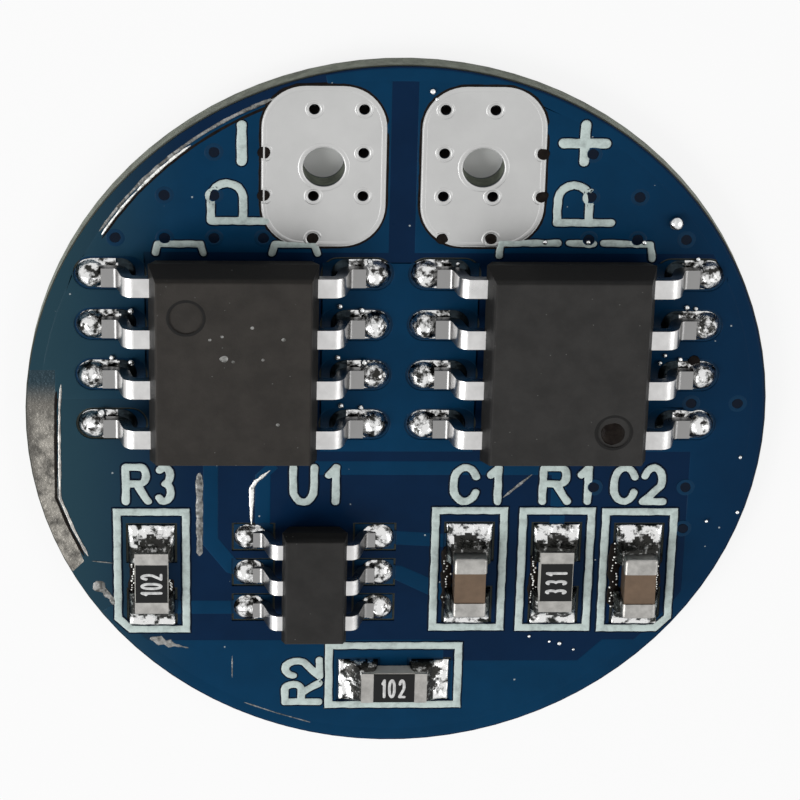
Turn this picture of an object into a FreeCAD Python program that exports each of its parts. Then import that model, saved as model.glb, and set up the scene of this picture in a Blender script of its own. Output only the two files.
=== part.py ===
import FreeCAD, Part
import os

import Sketcher

# Round protection board for one lithium cell.
# The frame: +Z up, the origin is the centre of the underside, where the tinned pads rest.
# X runs from the minus terminal to the plus terminal, Y runs towards both terminals.
# A place named height is measured from the underside, all sizes are millimetres.

DOCUMENT = FreeCAD.newDocument("protection_board")
SHEET = DOCUMENT.addObject("Spreadsheet::Sheet", "Dims")

DIMENSIONS = (
    # Board layers
    ("board_diameter", 17.46, "outer diameter of the laminate"),
    ("core_thickness", 0.51, "glass laminate between the two foils"),
    ("foil_thickness", 0.035, "copper foil, each side"),
    ("mask_cover", 0.02, "solder mask above the foil"),
    ("tin_thickness", 0.04, "tin on the bare pads"),
    ("ink_thickness", 0.02, "printed legend above the mask"),
    ("foil_setback", 0.33, "board edge to the edge of the foil"),
    ("mask_setback", 0.03, "board edge to the edge of the mask"),
    ("foil_gap", 0.25, "bare gap between two areas of foil"),
    ("window_margin", 0.05, "mask window beyond a land, each side"),
    ("plating_thickness", 0.025, "plated wall of a via"),
    # Wire terminals
    ("terminal_x", 1.82, "centre of a terminal from the middle line"),
    ("terminal_y", 6.31, "centre of both terminals"),
    ("terminal_width", 2.84, "terminal along X"),
    ("terminal_length", 3.86, "terminal along Y"),
    ("terminal_corner", 1.0, "corner radius of a terminal"),
    ("wire_hole_radius", 0.48, "finished hole for the wire"),
    # Vias
    ("via_radius", 0.15, "drilled via"),
    ("via_first_x", 0.92, "first column beside the terminals"),
    ("via_first_y", 4.57, "first row beside the terminals"),
    ("via_pitch_x", 1.13, "column pitch beside the terminals"),
    ("via_pitch_y", 1.04, "row pitch beside the terminals"),
    ("side_via_x", 6.94, "column of vias at the right"),
    ("side_via_y", 1.53, "first row of vias at the right"),
    ("side_via_pitch", 1.1, "pitch of the vias at the right"),
    # Pad for the cell, on the underside
    ("cell_pad_width", 8.0, "cell pad along X"),
    ("cell_pad_length", 5.0, "cell pad along Y"),
    ("cell_pad_y", -2.4, "centre of the cell pad"),
    ("cell_pad_corner", 0.8, "corner radius of the cell pad"),
    # Power switches, eight leads each
    ("switch_x", 3.86, "centre of a switch from the middle line"),
    ("switch_y", 1.79, "centre of both switches"),
    ("switch_width", 3.9, "moulding across the leads, at the parting line"),
    ("switch_length", 4.92, "moulding along the row of leads"),
    ("switch_cover", 0.71, "moulding above the parting line"),
    ("switch_clearance", 0.1, "moulding above the foot undersides"),
    ("switch_gap", 0.12, "foot underside above the land"),
    ("switch_pitch", 1.27, "lead pitch"),
    ("switch_lead_width", 0.46, "lead width"),
    ("switch_lead_thickness", 0.21, "lead thickness"),
    ("switch_lead_rise", 0.625, "foot to shoulder"),
    ("switch_lead_inner", 1.45, "inner end of a lead"),
    ("switch_knee", 2.42, "middle of the leg at the shoulder"),
    ("switch_ankle", 2.58, "middle of the leg at the foot"),
    ("switch_toe", 3.04, "tip of the foot"),
    ("switch_land_inner", 2.05, "inner end of a land"),
    ("switch_land_outer", 3.64, "outer end of a land"),
    ("switch_land_width", 0.72, "land width"),
    ("switch_dimple_x", 1.08, "dimple that marks lead one"),
    ("switch_dimple_y", 1.42, "dimple that marks lead one"),
    ("switch_dimple_radius", 0.4, "dimple radius"),
    ("dimple_depth", 0.03, "dimple depth"),
    ("draft_angle", 14.5, "draft of the moulded halves, degrees"),
    ("mould_edge", 0.04, "rounding of the top edges of a moulding"),
    ("bend_radius", 0.1, "inner radius of a lead bend"),
    ("paddle_left", 1.15, "paddle edge that faces the free leads"),
    ("paddle_right", 1.35, "paddle edge on its own leads"),
    ("paddle_split", 0.2, "gap between the two paddles"),
    ("paddle_length", 4.2, "both paddles along the row"),
    ("switch_die_width", 1.7, "die across the leads"),
    ("switch_die_length", 1.5, "die along the row"),
    ("switch_die_thickness", 0.2, "die with its bond layer"),
    ("wire_thickness", 0.05, "bond wire"),
    ("wire_loop", 0.2, "bond wire above the die"),
    ("switch_wire_inner", 0.6, "wire foot on the die"),
    ("switch_wire_outer", 1.6, "wire foot on the lead"),
    # Controller, six leads
    ("control_x", -1.925, "centre of the controller"),
    ("control_y", -4.05, "centre of the controller"),
    ("control_width", 1.55, "moulding across the leads"),
    ("control_length", 2.9, "moulding along the row of leads"),
    ("control_cover", 0.355, "moulding above the parting line"),
    ("control_clearance", 0.06, "moulding above the foot undersides"),
    ("control_gap", 0.045, "foot underside above the land"),
    ("control_pitch", 0.95, "lead pitch"),
    ("control_lead_width", 0.38, "lead width"),
    ("control_lead_thickness", 0.15, "lead thickness"),
    ("control_lead_rise", 0.675, "foot to shoulder"),
    ("control_lead_inner", 0.55, "inner end of a lead"),
    ("control_knee", 0.955, "middle of the leg at the shoulder"),
    ("control_ankle", 1.16, "middle of the leg at the foot"),
    ("control_toe", 1.46, "tip of the foot"),
    ("control_land_inner", 0.98, "inner end of a land"),
    ("control_land_outer", 1.92, "outer end of a land"),
    ("control_land_width", 0.66, "land width"),
    ("control_paddle_width", 0.86, "paddle across the leads"),
    ("control_paddle_length", 2.4, "paddle along the row"),
    ("control_paddle_thickness", 0.12, "paddle"),
    ("control_paddle_drop", 0.05, "paddle below the leads"),
    ("control_die_width", 0.76, "die across the leads"),
    ("control_die_length", 2.1, "die along the row"),
    ("control_die_thickness", 0.12, "die with its bond layer"),
    ("control_wire_inner", 0.3, "wire foot on the die"),
    ("control_wire_outer", 0.63, "wire foot on the lead"),
    # Chip resistors and capacitors
    ("chip_length", 1.6, "chip along its ends"),
    ("chip_width", 0.8, "chip width"),
    ("resistor_height", 0.45, "resistor over its end caps"),
    ("capacitor_height", 0.8, "capacitor over its end caps"),
    ("resistor_band", 0.3, "end cap on a resistor's top"),
    ("capacitor_band", 0.4, "end cap on a capacitor's sides"),
    ("cap_thickness", 0.03, "end cap metal"),
    ("capacitor_edge", 0.08, "rounding of a capacitor's end cap"),
    ("film_thickness", 0.012, "resistive film"),
    ("glaze_thickness", 0.045, "glaze over the film"),
    ("film_margin", 0.08, "film inside the chip's sides"),
    ("glaze_margin", 0.02, "glaze inside the chip's sides"),
    ("chip_gap", 0.03, "chip above its lands"),
    ("land_span", 2.7, "over both lands of a chip"),
    ("land_length", 0.97, "land of a chip, along the chip"),
    ("land_width", 1.12, "land of a chip, across the chip"),
    ("solder_skirt", 0.06, "solder height at the rim of a land"),
    ("resistor_climb", 0.36, "solder height at a resistor's end"),
    ("capacitor_climb", 0.5, "solder height at a capacitor's end"),
    ("first_resistor_x", 3.9, "resistor one"),
    ("first_resistor_y", -4.1, "resistor one"),
    ("second_resistor_x", 0.06, "resistor two, lying across"),
    ("second_resistor_y", -7.0, "resistor two, lying across"),
    ("third_resistor_x", -5.81, "resistor three"),
    ("third_resistor_y", -4.13, "resistor three"),
    ("first_capacitor_x", 1.8, "capacitor one"),
    ("first_capacitor_y", -4.09, "capacitor one"),
    ("second_capacitor_x", 5.89, "capacitor two"),
    ("second_capacitor_y", -4.12, "capacitor two"),
    # Solder of the leads
    ("switch_toe_solder_x", 3.07, "middle of the solder at the toe"),
    ("switch_toe_solder_reach", 0.55, "half length of the solder at the toe"),
    ("switch_toe_solder_height", 0.34, "height of the solder at the toe"),
    ("switch_heel_solder_x", 2.5, "middle of the solder at the heel"),
    ("switch_heel_solder_reach", 0.42, "half length of the solder at the heel"),
    ("switch_heel_solder_height", 0.26, "height of the solder at the heel"),
    ("switch_solder_width", 0.35, "half width of the solder"),
    ("control_toe_solder_x", 1.5, "middle of the solder at the toe"),
    ("control_toe_solder_reach", 0.4, "half length of the solder at the toe"),
    ("control_toe_solder_height", 0.2, "height of the solder at the toe"),
    ("control_heel_solder_x", 1.25, "middle of the solder at the heel"),
    ("control_heel_solder_reach", 0.25, "half length of the solder at the heel"),
    ("control_heel_solder_height", 0.17, "height of the solder at the heel"),
    ("control_solder_width", 0.32, "half width of the solder"),
    # Foil areas on the top side
    ("foil_split", 0.3, "half gap between the foils of the two terminals"),
    ("return_top", -5.9, "upper edge of the lower foil, at the left"),
    ("return_step", -6.48, "upper edge of the lower foil, at the right"),
    ("step_left", 1.27, "left end of the step"),
    ("step_right", 4.56, "right end of the step"),
    ("return_side", 7.0, "left edge of the foil at the right"),
    ("track_width", 0.36, "signal track"),
    ("sense_x", -4.4, "middle of the left signal track"),
    ("gate_x", -3.16, "middle of the short signal track"),
    ("band_y", -1.27, "middle of the long signal track"),
    # Bare strip of foil at the left edge
    ("strip_inset", 0.71, "board edge to the inner edge of the bare strip"),
    ("strip_top", 0.1432, "upper end of the strip, share of the board's radius"),
    ("strip_bend", -0.236, "turn of the strip, share of the board's radius"),
    ("strip_low", -0.4296, "lower end of the strip, share of the board's radius"),
    ("strip_low_x", -0.8511, "inner edge at the lower end, share of the board's radius"),
    # Printed legend
    ("frame_width", 1.84, "printed frame round a chip, outside"),
    ("frame_length", 3.36, "printed frame round a chip, outside"),
    ("frame_shift", 0.12, "frame centre above the chip"),
    ("frame_line", 0.2, "printed line"),
    ("frame_cut", 0.36, "corner left off near the board's edge"),
    ("bracket_half", 1.8, "half width of the bracket over a switch"),
    ("bracket_top", 2.72, "bracket above the middle of a switch"),
    ("bracket_leg", 0.42, "bracket leg"),
    ("bracket_left_end", 0.72, "inner end of the left piece of the bracket"),
    ("bracket_right_end", 0.84, "inner end of the right piece of the bracket"),
)

# Heights of the layers, from the underside up
FOIL_LOW = "Dims.tin_thickness"
CORE_LOW = "(Dims.tin_thickness + Dims.foil_thickness)"
CORE_HIGH = "(Dims.tin_thickness + Dims.foil_thickness + Dims.core_thickness)"
LAND = "(Dims.tin_thickness + 2 * Dims.foil_thickness + Dims.core_thickness)"
MASK_TOP = "(Dims.tin_thickness + 2 * Dims.foil_thickness + Dims.core_thickness + Dims.mask_cover)"
MASK_LOW = "(Dims.tin_thickness - Dims.mask_cover)"
FOIL_RADIUS = "(Dims.board_diameter / 2 - Dims.foil_setback)"
MASK_RADIUS = "(Dims.board_diameter / 2 - Dims.mask_setback)"
REACH = "(Dims.board_diameter / 2 + Dims.foil_setback)"
UPPER_FOIL = "(Dims.terminal_y - Dims.terminal_length / 2 - Dims.foil_setback / 2)"
OPEN_VIA = "(Dims.via_radius - Dims.plating_thickness)"

# Column and row of each via beside a terminal: open ones, then those under the mask
OPEN_VIAS = {
    -1: ((0, 1), (0, 2), (0, 3), (1, 0), (1, 1), (1, 3), (2, 1), (2, 2)),
    1: ((0, 0), (0, 1), (0, 2), (0, 3), (1, 0), (1, 1), (1, 3), (2, 1), (2, 2)),
}
COVERED_VIAS = {
    -1: ((2, 0), (3, 0), (3, 1), (3, 2), (4, 0), (4, 1), (5, 0)),
    1: ((3, 0), (3, 1), (3, 2), (4, 0), (4, 1), (5, 0)),
}
SIDE_VIAS = ((0, 0), (0, 1), (0, 3), (0, 4), (1, 1), (-2, 3))

SWITCH_LEADS = 4
CONTROL_LEADS = 3

PIECES = []


def fill_sheet():
    """Write each driving dimension into its own row, with its alias and meaning."""
    for row, (alias, size, meaning) in enumerate(DIMENSIONS, start=1):
        SHEET.set("A%d" % row, alias)
        SHEET.set("B%d" % row, str(size))
        SHEET.setAlias("B%d" % row, alias)
        SHEET.set("C%d" % row, meaning)
    DOCUMENT.recompute()


def value(expression):
    """The number that an expression on the sheet gives now."""
    return float(SHEET.evalExpression(expression))


def keep(label, feature):
    """Name a finished piece and put it on the list that is written out."""
    feature.Label = label
    PIECES.append((label, feature))
    return feature


def new_body(name, x="0", y="0", turn="0"):
    """An empty body at a place on the board, turned about the vertical."""
    body = DOCUMENT.addObject("PartDesign::Body", name)
    body.AllowCompound = True
    body.setExpression("Placement.Base.x", x)
    body.setExpression("Placement.Base.y", y)
    body.setExpression("Placement.Rotation.Angle", turn)
    return body


def datum(body, role):
    """A plane or axis of the body's own origin."""
    return next(item for item in body.Origin.OriginFeatures if item.Role == role)


def new_sketch(body, name, height=None, role="XY_Plane"):
    """A sketch on one of the body's planes, lifted to a height."""
    sketch = body.newObject("Sketcher::SketchObject", name)
    sketch.AttachmentSupport = (datum(body, role), [""])
    sketch.MapMode = "FlatFace"
    if height:
        sketch.setExpression("AttachmentOffset.Base.z", height)
    return sketch


def bind(sketch, kind, places, expression):
    """Add a constraint whose size follows an expression."""
    index = sketch.addConstraint(Sketcher.Constraint(kind, *places, value(expression)))
    sketch.setExpression("Constraints[%d]" % index, expression)


def pin_point(sketch, geometry, point, x, y):
    """Hold a point of the sketch at a place given by two expressions."""
    bind(sketch, "DistanceX", (-1, 1, geometry, point), x)
    bind(sketch, "DistanceY", (-1, 1, geometry, point), y)


def draw_polygon(sketch, corners):
    """A closed outline of straight lines through the given corners."""
    first = sketch.GeometryCount
    count = len(corners)
    points = [FreeCAD.Vector(value(x), value(y), 0) for x, y in corners]
    for index in range(count):
        line = Part.LineSegment(points[index], points[(index + 1) % count])
        sketch.addGeometry(line, False)
    for index in range(count):
        following = first + (index + 1) % count
        sketch.addConstraint(Sketcher.Constraint("Coincident", first + index, 2, following, 1))
    for index, (x, y) in enumerate(corners):
        pin_point(sketch, first + index, 1, x, y)


def draw_rectangle(sketch, x, y, width, length):
    """A rectangle about its centre."""
    left = "%s - (%s) / 2" % (x, width)
    right = "%s + (%s) / 2" % (x, width)
    low = "%s - (%s) / 2" % (y, length)
    high = "%s + (%s) / 2" % (y, length)
    draw_polygon(sketch, ((left, low), (right, low), (right, high), (left, high)))


def draw_circle(sketch, x, y, radius):
    """A circle at a place."""
    centre = FreeCAD.Vector(value(x), value(y), 0)
    circle = Part.Circle(centre, FreeCAD.Vector(0, 0, 1), value(radius))
    index = sketch.addGeometry(circle, False)
    pin_point(sketch, index, 3, x, y)
    bind(sketch, "Radius", (index,), radius)


def draw_slot(sketch, inner, outer, y, width):
    """A slot along X with two round ends, between two end positions."""
    radius = "(%s) / 2" % width
    near = "%s + %s" % (inner, radius)
    far = "%s - %s" % (outer, radius)
    size = value(radius)
    left = FreeCAD.Vector(value(near), value(y), 0)
    right = FreeCAD.Vector(value(far), value(y), 0)
    up = FreeCAD.Vector(0, size, 0)
    out = FreeCAD.Vector(size, 0, 0)
    first = sketch.GeometryCount
    sketch.addGeometry(Part.LineSegment(left - up, right - up), False)
    sketch.addGeometry(Part.Arc(right - up, right + out, right + up), False)
    sketch.addGeometry(Part.LineSegment(right + up, left + up), False)
    sketch.addGeometry(Part.Arc(left + up, left - out, left - up), False)
    for step in range(4):
        here = first + step
        following = first + (step + 1) % 4
        sketch.addConstraint(Sketcher.Constraint("Tangent", here, 2, following, 1))
    pin_point(sketch, first + 1, 3, far, y)
    pin_point(sketch, first + 3, 3, near, y)
    bind(sketch, "Radius", (first + 1,), radius)


def pad(body, sketch, name, length, taper=None, down=False, both_ways=False):
    """Raise a sketch into a solid."""
    feature = body.newObject("PartDesign::Pad", name)
    feature.Profile = sketch
    feature.SideType = "Symmetric" if both_ways else "One side"
    feature.setExpression("Length", length)
    feature.Reversed = down
    if taper:
        feature.setExpression("TaperAngle", taper)
    return feature


def pocket(body, sketch, name, length=None):
    """Cut a sketch downwards out of the body, or right through it both ways."""
    feature = body.newObject("PartDesign::Pocket", name)
    feature.Profile = sketch
    if length:
        feature.setExpression("Length", length)
        return feature
    feature.SideType = "Symmetric"
    feature.setExpression("Length", "4 * %s" % MASK_TOP)
    return feature


def fillet(body, base, name, radius, chosen):
    """Round the edges of a feature that pass a test."""
    DOCUMENT.recompute([base])
    names = [
        "Edge%d" % number
        for number, edge in enumerate(base.Shape.Edges, start=1)
        if chosen(edge)
    ]
    feature = body.newObject("PartDesign::Fillet", name)
    feature.Base = (base, names)
    feature.setExpression("Radius", radius)
    return feature


def pattern(body, kind, name):
    """A pattern feature that copies the body's whole shape."""
    base = body.Tip
    feature = body.newObject(kind, name)
    feature.BaseFeature = base
    feature.TransformMode = "Whole shape"
    body.Tip = feature
    return feature


def repeat(body, name, count, pitch):
    """Repeat the body's whole shape along Y."""
    feature = pattern(body, "PartDesign::LinearPattern", name)
    feature.Direction = (datum(body, "Y_Axis"), [""])
    feature.Mode = "Spacing"
    feature.setExpression("Offset", pitch)
    feature.Occurrences = count


def mirror(body, name):
    """Copy the body's whole shape across its middle plane."""
    feature = pattern(body, "PartDesign::Mirrored", name)
    feature.MirrorPlane = (datum(body, "YZ_Plane"), [""])


def cut(label, base, tools):
    """A piece less the others that lie in it."""
    feature = DOCUMENT.addObject("Part::Cut", label)
    feature.Base = base
    feature.Tool = join(label + "_tools", tools)
    return keep(label, feature)


def join(name, items):
    """Several shapes as one."""
    if len(items) == 1:
        return items[0]
    together = DOCUMENT.addObject("Part::MultiFuse", name)
    together.Shapes = items
    return together


def terminal_vias(grids, side):
    """The places of the vias of a grid at one terminal, as expressions."""
    places = []
    for column, row in grids[side]:
        x = "%d * (Dims.via_first_x + %d * Dims.via_pitch_x)" % (side, column)
        y = "Dims.via_first_y + %d * Dims.via_pitch_y" % row
        places.append((x, y))
    return places


def via_places():
    """The place of every via, as expressions."""
    places = []
    for side in (-1, 1):
        places += terminal_vias(OPEN_VIAS, side) + terminal_vias(COVERED_VIAS, side)
    for column, row in SIDE_VIAS:
        x = "Dims.side_via_x + %d * Dims.side_via_pitch" % column
        y = "Dims.side_via_y - %d * Dims.side_via_pitch" % row
        places.append((x, y))
    return places


def wire_hole_places():
    """The two wire holes, in the middle of the terminals."""
    return (("-Dims.terminal_x", "Dims.terminal_y"), ("Dims.terminal_x", "Dims.terminal_y"))


def drill(body, name, places, radius):
    """Cut round holes right through a layer."""
    holes = new_sketch(body, name)
    for x, y in places:
        draw_circle(holes, x, y, radius)
    body.Tip = pocket(body, holes, name + "_cut")


def drill_layer(body, name, via_radius):
    """Cut the vias and the wire holes through a layer."""
    drill(body, name + "_vias", via_places(), via_radius)
    drill(body, name + "_wires", wire_hole_places(), "Dims.wire_hole_radius")


def is_upright(edge):
    """An edge that runs straight up."""
    low, high = edge.Vertexes[0].Point, edge.Vertexes[-1].Point
    return abs(low.x - high.x) < 1e-6 and abs(low.y - high.y) < 1e-6 and abs(low.z - high.z) > 1e-6


def build_laminate():
    """The glass laminate disc with its drilled holes."""
    body = new_body("laminate")
    disc = new_sketch(body, "laminate_outline", CORE_LOW)
    draw_circle(disc, "0", "0", "Dims.board_diameter / 2")
    pad(body, disc, "laminate_disc", "Dims.core_thickness")
    drill_layer(body, "laminate", "Dims.via_radius")
    keep("laminate", body)


def build_via_barrels():
    """Copper walls of the vias, between the two foils."""
    body = new_body("via_barrels")
    rings = new_sketch(body, "via_rings", CORE_LOW)
    for x, y in via_places():
        draw_circle(rings, x, y, "Dims.via_radius")
        draw_circle(rings, x, y, OPEN_VIA)
    body.Tip = pad(body, rings, "via_walls", "Dims.core_thickness")
    keep("via_barrels", body)


def chip_places():
    """Each chip with its centre and the turn of its long side."""
    return (
        ("first_resistor", "Dims.first_resistor_x", "Dims.first_resistor_y", "90"),
        ("second_resistor", "Dims.second_resistor_x", "Dims.second_resistor_y", "0"),
        ("third_resistor", "Dims.third_resistor_x", "Dims.third_resistor_y", "90"),
        ("first_capacitor", "Dims.first_capacitor_x", "Dims.first_capacitor_y", "90"),
        ("second_capacitor", "Dims.second_capacitor_x", "Dims.second_capacitor_y", "90"),
    )


def packages():
    """Each package with leads: its kind, centre, turn and number of leads in a row."""
    return (
        ("left_switch", "switch", "-Dims.switch_x", "Dims.switch_y", "0", SWITCH_LEADS),
        ("right_switch", "switch", "Dims.switch_x", "Dims.switch_y", "180", SWITCH_LEADS),
        ("controller", "control", "Dims.control_x", "Dims.control_y", "0", CONTROL_LEADS),
    )


def build_lands(label, margin, thickness):
    """The lands of all parts as plates on the laminate, grown by a margin on each side."""
    plates = []
    for name, kind, x, y, turn, count in packages():
        body = new_body("%s_%s" % (name, label), x, y, turn)
        sketch = new_sketch(body, body.Name + "_sketch", CORE_HIGH)
        inner = "(Dims.%s_land_inner - %s)" % (kind, margin)
        outer = "(Dims.%s_land_outer + %s)" % (kind, margin)
        width = "(Dims.%s_land_width + 2 * %s)" % (kind, margin)
        if kind == "switch":
            draw_slot(sketch, inner, outer, "0", width)
        else:
            middle = "(%s + %s) / 2" % (inner, outer)
            draw_rectangle(sketch, middle, "0", "%s - %s" % (outer, inner), width)
        pad(body, sketch, body.Name + "_pad", thickness)
        repeat(body, body.Name + "_row", count, "Dims.%s_pitch" % kind)
        mirror(body, body.Name + "_sides")
        shift_row(body, kind, count, y, turn)
        plates.append(body)
    for name, x, y, turn in chip_places():
        body = new_body("%s_%s" % (name, label), x, y, turn)
        sketch = new_sketch(body, body.Name + "_sketch", CORE_HIGH)
        length = "Dims.land_length + 2 * %s" % margin
        width = "Dims.land_width + 2 * %s" % margin
        for side in (-1, 1):
            along = "%d * (Dims.land_span - Dims.land_length) / 2" % side
            draw_rectangle(sketch, along, "0", length, width)
        body.Tip = pad(body, sketch, body.Name + "_pad", thickness)
        plates.append(body)
    return plates


def draw_areas(sketch):
    """The large areas of foil on the top side, past the board's edge where they meet it."""
    inner_land = "(Dims.switch_x + Dims.switch_land_inner)"
    left_bottom = "(Dims.switch_y - Dims.switch_pitch)"
    draw_polygon(sketch, (
        ("-" + REACH, REACH),
        ("-" + REACH, left_bottom),
        ("-" + inner_land, left_bottom),
        ("-" + inner_land, UPPER_FOIL),
        ("-Dims.foil_split", UPPER_FOIL),
        ("-Dims.foil_split", REACH),
    ))
    draw_polygon(sketch, (
        ("Dims.foil_split", REACH),
        ("Dims.foil_split", UPPER_FOIL),
        (REACH, UPPER_FOIL),
        (REACH, REACH),
    ))
    row_half = "%g * Dims.switch_pitch" % ((SWITCH_LEADS - 1) / 2)
    drain_bottom = "(Dims.switch_y - %s - Dims.switch_land_width)" % row_half
    drain_side = "(Dims.switch_x - Dims.switch_land_inner)"
    draw_polygon(sketch, (
        ("-" + drain_side, UPPER_FOIL + " - Dims.foil_gap"),
        ("-" + drain_side, drain_bottom),
        (drain_side, drain_bottom),
        (drain_side, UPPER_FOIL + " - Dims.foil_gap"),
    ))
    slope = "(Dims.return_top - Dims.return_step)"
    draw_polygon(sketch, (
        (inner_land, UPPER_FOIL + " - Dims.foil_gap"),
        (inner_land, drain_bottom),
        ("Dims.return_side", drain_bottom),
        ("Dims.return_side", "Dims.return_top"),
        ("Dims.step_right + " + slope, "Dims.return_top"),
        ("Dims.step_right", "Dims.return_step"),
        ("Dims.step_left", "Dims.return_step"),
        ("Dims.step_left", "Dims.return_top"),
        ("-" + REACH, "Dims.return_top"),
        ("-" + REACH, "-" + REACH),
        (REACH, "-" + REACH),
        (REACH, UPPER_FOIL + " - Dims.foil_gap"),
    ))


def draw_tracks(sketch):
    """The signal tracks between the controller and its neighbours."""
    half = "Dims.track_width / 2"
    left_land = "(Dims.control_x - Dims.control_land_outer)"
    right_land = "(Dims.control_x + Dims.control_land_outer)"
    row = "Dims.control_pitch"
    overlap = "Dims.control_land_width / 2"
    start = "(Dims.switch_y - Dims.switch_length / 2)"
    bend = "(Dims.control_y + %s - Dims.sense_x)" % left_land
    # Left track: down beside the resistor, then slanting to the middle lead
    draw_polygon(sketch, (
        ("Dims.sense_x - " + half, start),
        ("Dims.sense_x - " + half, "%s + %s" % (bend, half)),
        ("%s - %s" % (left_land, half), "Dims.control_y"),
        ("%s + %s" % (left_land, overlap), "Dims.control_y - " + half),
        ("%s + %s" % (left_land, overlap), "Dims.control_y + " + half),
        ("%s + %s" % (left_land, half), "Dims.control_y + " + half),
        ("Dims.sense_x + " + half, "%s + 2 * %s" % (bend, half)),
        ("Dims.sense_x + " + half, start),
    ))
    # Short track down to the upper left lead
    draw_polygon(sketch, (
        ("Dims.gate_x - " + half, "Dims.band_y - " + half),
        ("Dims.gate_x - " + half, "Dims.control_y + " + row),
        ("Dims.gate_x + " + half, "Dims.control_y + " + row),
        ("Dims.gate_x + " + half, "Dims.band_y - " + half),
        ("Dims.gate_x + 2 * %s" % half, "Dims.band_y"),
        ("Dims.gate_x + " + half, "Dims.band_y + " + half),
    ))
    # Long track across, then down to resistor one
    land_top = "(Dims.first_resistor_y + Dims.land_span / 2 - Dims.land_length / 2)"
    draw_polygon(sketch, (
        ("Dims.control_x", "Dims.band_y + " + half),
        ("Dims.control_x", "Dims.band_y - " + half),
        ("Dims.first_resistor_x - " + half, "Dims.band_y - " + half),
        ("Dims.first_resistor_x - " + half, land_top),
        ("Dims.first_resistor_x + " + half, land_top),
        ("Dims.first_resistor_x + " + half, "Dims.band_y + " + half),
    ))
    # Lower left lead to resistor three
    third_low = "(Dims.third_resistor_y - Dims.land_span / 2 + Dims.land_length / 2)"
    draw_polygon(sketch, (
        ("Dims.third_resistor_x", third_low + " + " + half),
        ("Dims.third_resistor_x", third_low + " - " + half),
        ("%s + %s" % (left_land, overlap), "Dims.control_y - %s - %s" % (row, half)),
        ("%s + %s" % (left_land, overlap), "Dims.control_y - %s + %s" % (row, half)),
    ))
    # Upper right lead to capacitor one
    first_high = "(Dims.first_capacitor_y + Dims.land_span / 2 - Dims.land_length / 2)"
    draw_polygon(sketch, (
        ("%s - %s" % (right_land, overlap), "Dims.control_y + %s + %s" % (row, half)),
        ("%s - %s" % (right_land, overlap), "Dims.control_y + %s - %s" % (row, half)),
        ("Dims.first_capacitor_x", first_high + " - " + half),
        ("Dims.first_capacitor_x", first_high + " + " + half),
    ))
    # Middle right lead, slanting down to the lower land of capacitor one
    first_low = "(Dims.first_capacitor_y - Dims.land_span / 2 + Dims.land_length / 2)"
    side = "(Dims.first_capacitor_x - Dims.land_width / 2)"
    draw_polygon(sketch, (
        ("%s - %s" % (right_land, overlap), "Dims.control_y + " + half),
        ("%s - %s" % (right_land, overlap), "Dims.control_y - " + half),
        (right_land, "Dims.control_y - " + half),
        ("%s + %s" % (side, half), first_low),
        ("%s + %s" % (side, half), first_low + " + Dims.land_length / 2"),
        ("%s + %s" % (right_land, half), "Dims.control_y + " + half),
    ))


def build_foil_top():
    """Copper on the top side: areas, tracks and lands, inside the foil circle."""
    body = new_body("foil_top_layout")
    areas = new_sketch(body, "foil_top_areas", CORE_HIGH)
    draw_areas(areas)
    pad(body, areas, "foil_top_area_pad", "Dims.foil_thickness")
    tracks = new_sketch(body, "foil_top_tracks", CORE_HIGH)
    draw_tracks(tracks)
    pad(body, tracks, "foil_top_track_pad", "Dims.foil_thickness")
    drill_layer(body, "foil_top", OPEN_VIA)
    lands = build_lands("lands", "0", "Dims.foil_thickness")
    feature = DOCUMENT.addObject("Part::Common", "foil_top")
    feature.Base = join("foil_top_whole", [body] + lands)
    feature.Tool = foil_disc("foil_top_limit", CORE_HIGH)
    return keep("foil_top", feature)


def foil_disc(name, height):
    """The circle that bounds the foil."""
    disc = DOCUMENT.addObject("Part::Cylinder", name)
    disc.setExpression("Radius", FOIL_RADIUS)
    disc.setExpression("Height", "Dims.foil_thickness")
    disc.setExpression("Placement.Base.z", height)
    return disc


def build_edge_strip():
    """Bare tinned strip of foil at the left edge, as high as the mask beside it."""
    body = new_body("edge_strip_outline")
    strip = new_sketch(body, "edge_strip_sketch", CORE_HIGH)
    radius = " * Dims.board_diameter / 2"
    side = "Dims.strip_inset - Dims.board_diameter / 2"
    draw_polygon(strip, (
        ("-" + REACH, "Dims.strip_top" + radius),
        ("-" + REACH, "Dims.strip_low%s - Dims.foil_gap" % radius),
        ("Dims.strip_low_x%s - Dims.foil_gap" % radius, "Dims.strip_low%s - Dims.foil_gap" % radius),
        ("Dims.strip_low_x" + radius, "Dims.strip_low" + radius),
        (side, "Dims.strip_bend" + radius),
        (side, "Dims.strip_top" + radius),
    ))
    body.Tip = pad(body, strip, "edge_strip_pad", "Dims.foil_thickness + Dims.mask_cover")
    limit = DOCUMENT.addObject("Part::Cylinder", "edge_strip_limit")
    limit.setExpression("Radius", MASK_RADIUS)
    limit.setExpression("Height", "Dims.foil_thickness + Dims.mask_cover")
    limit.setExpression("Placement.Base.z", CORE_HIGH)
    inside = DOCUMENT.addObject("Part::Common", "edge_strip_inside")
    inside.Base = body
    inside.Tool = limit
    return inside


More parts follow.
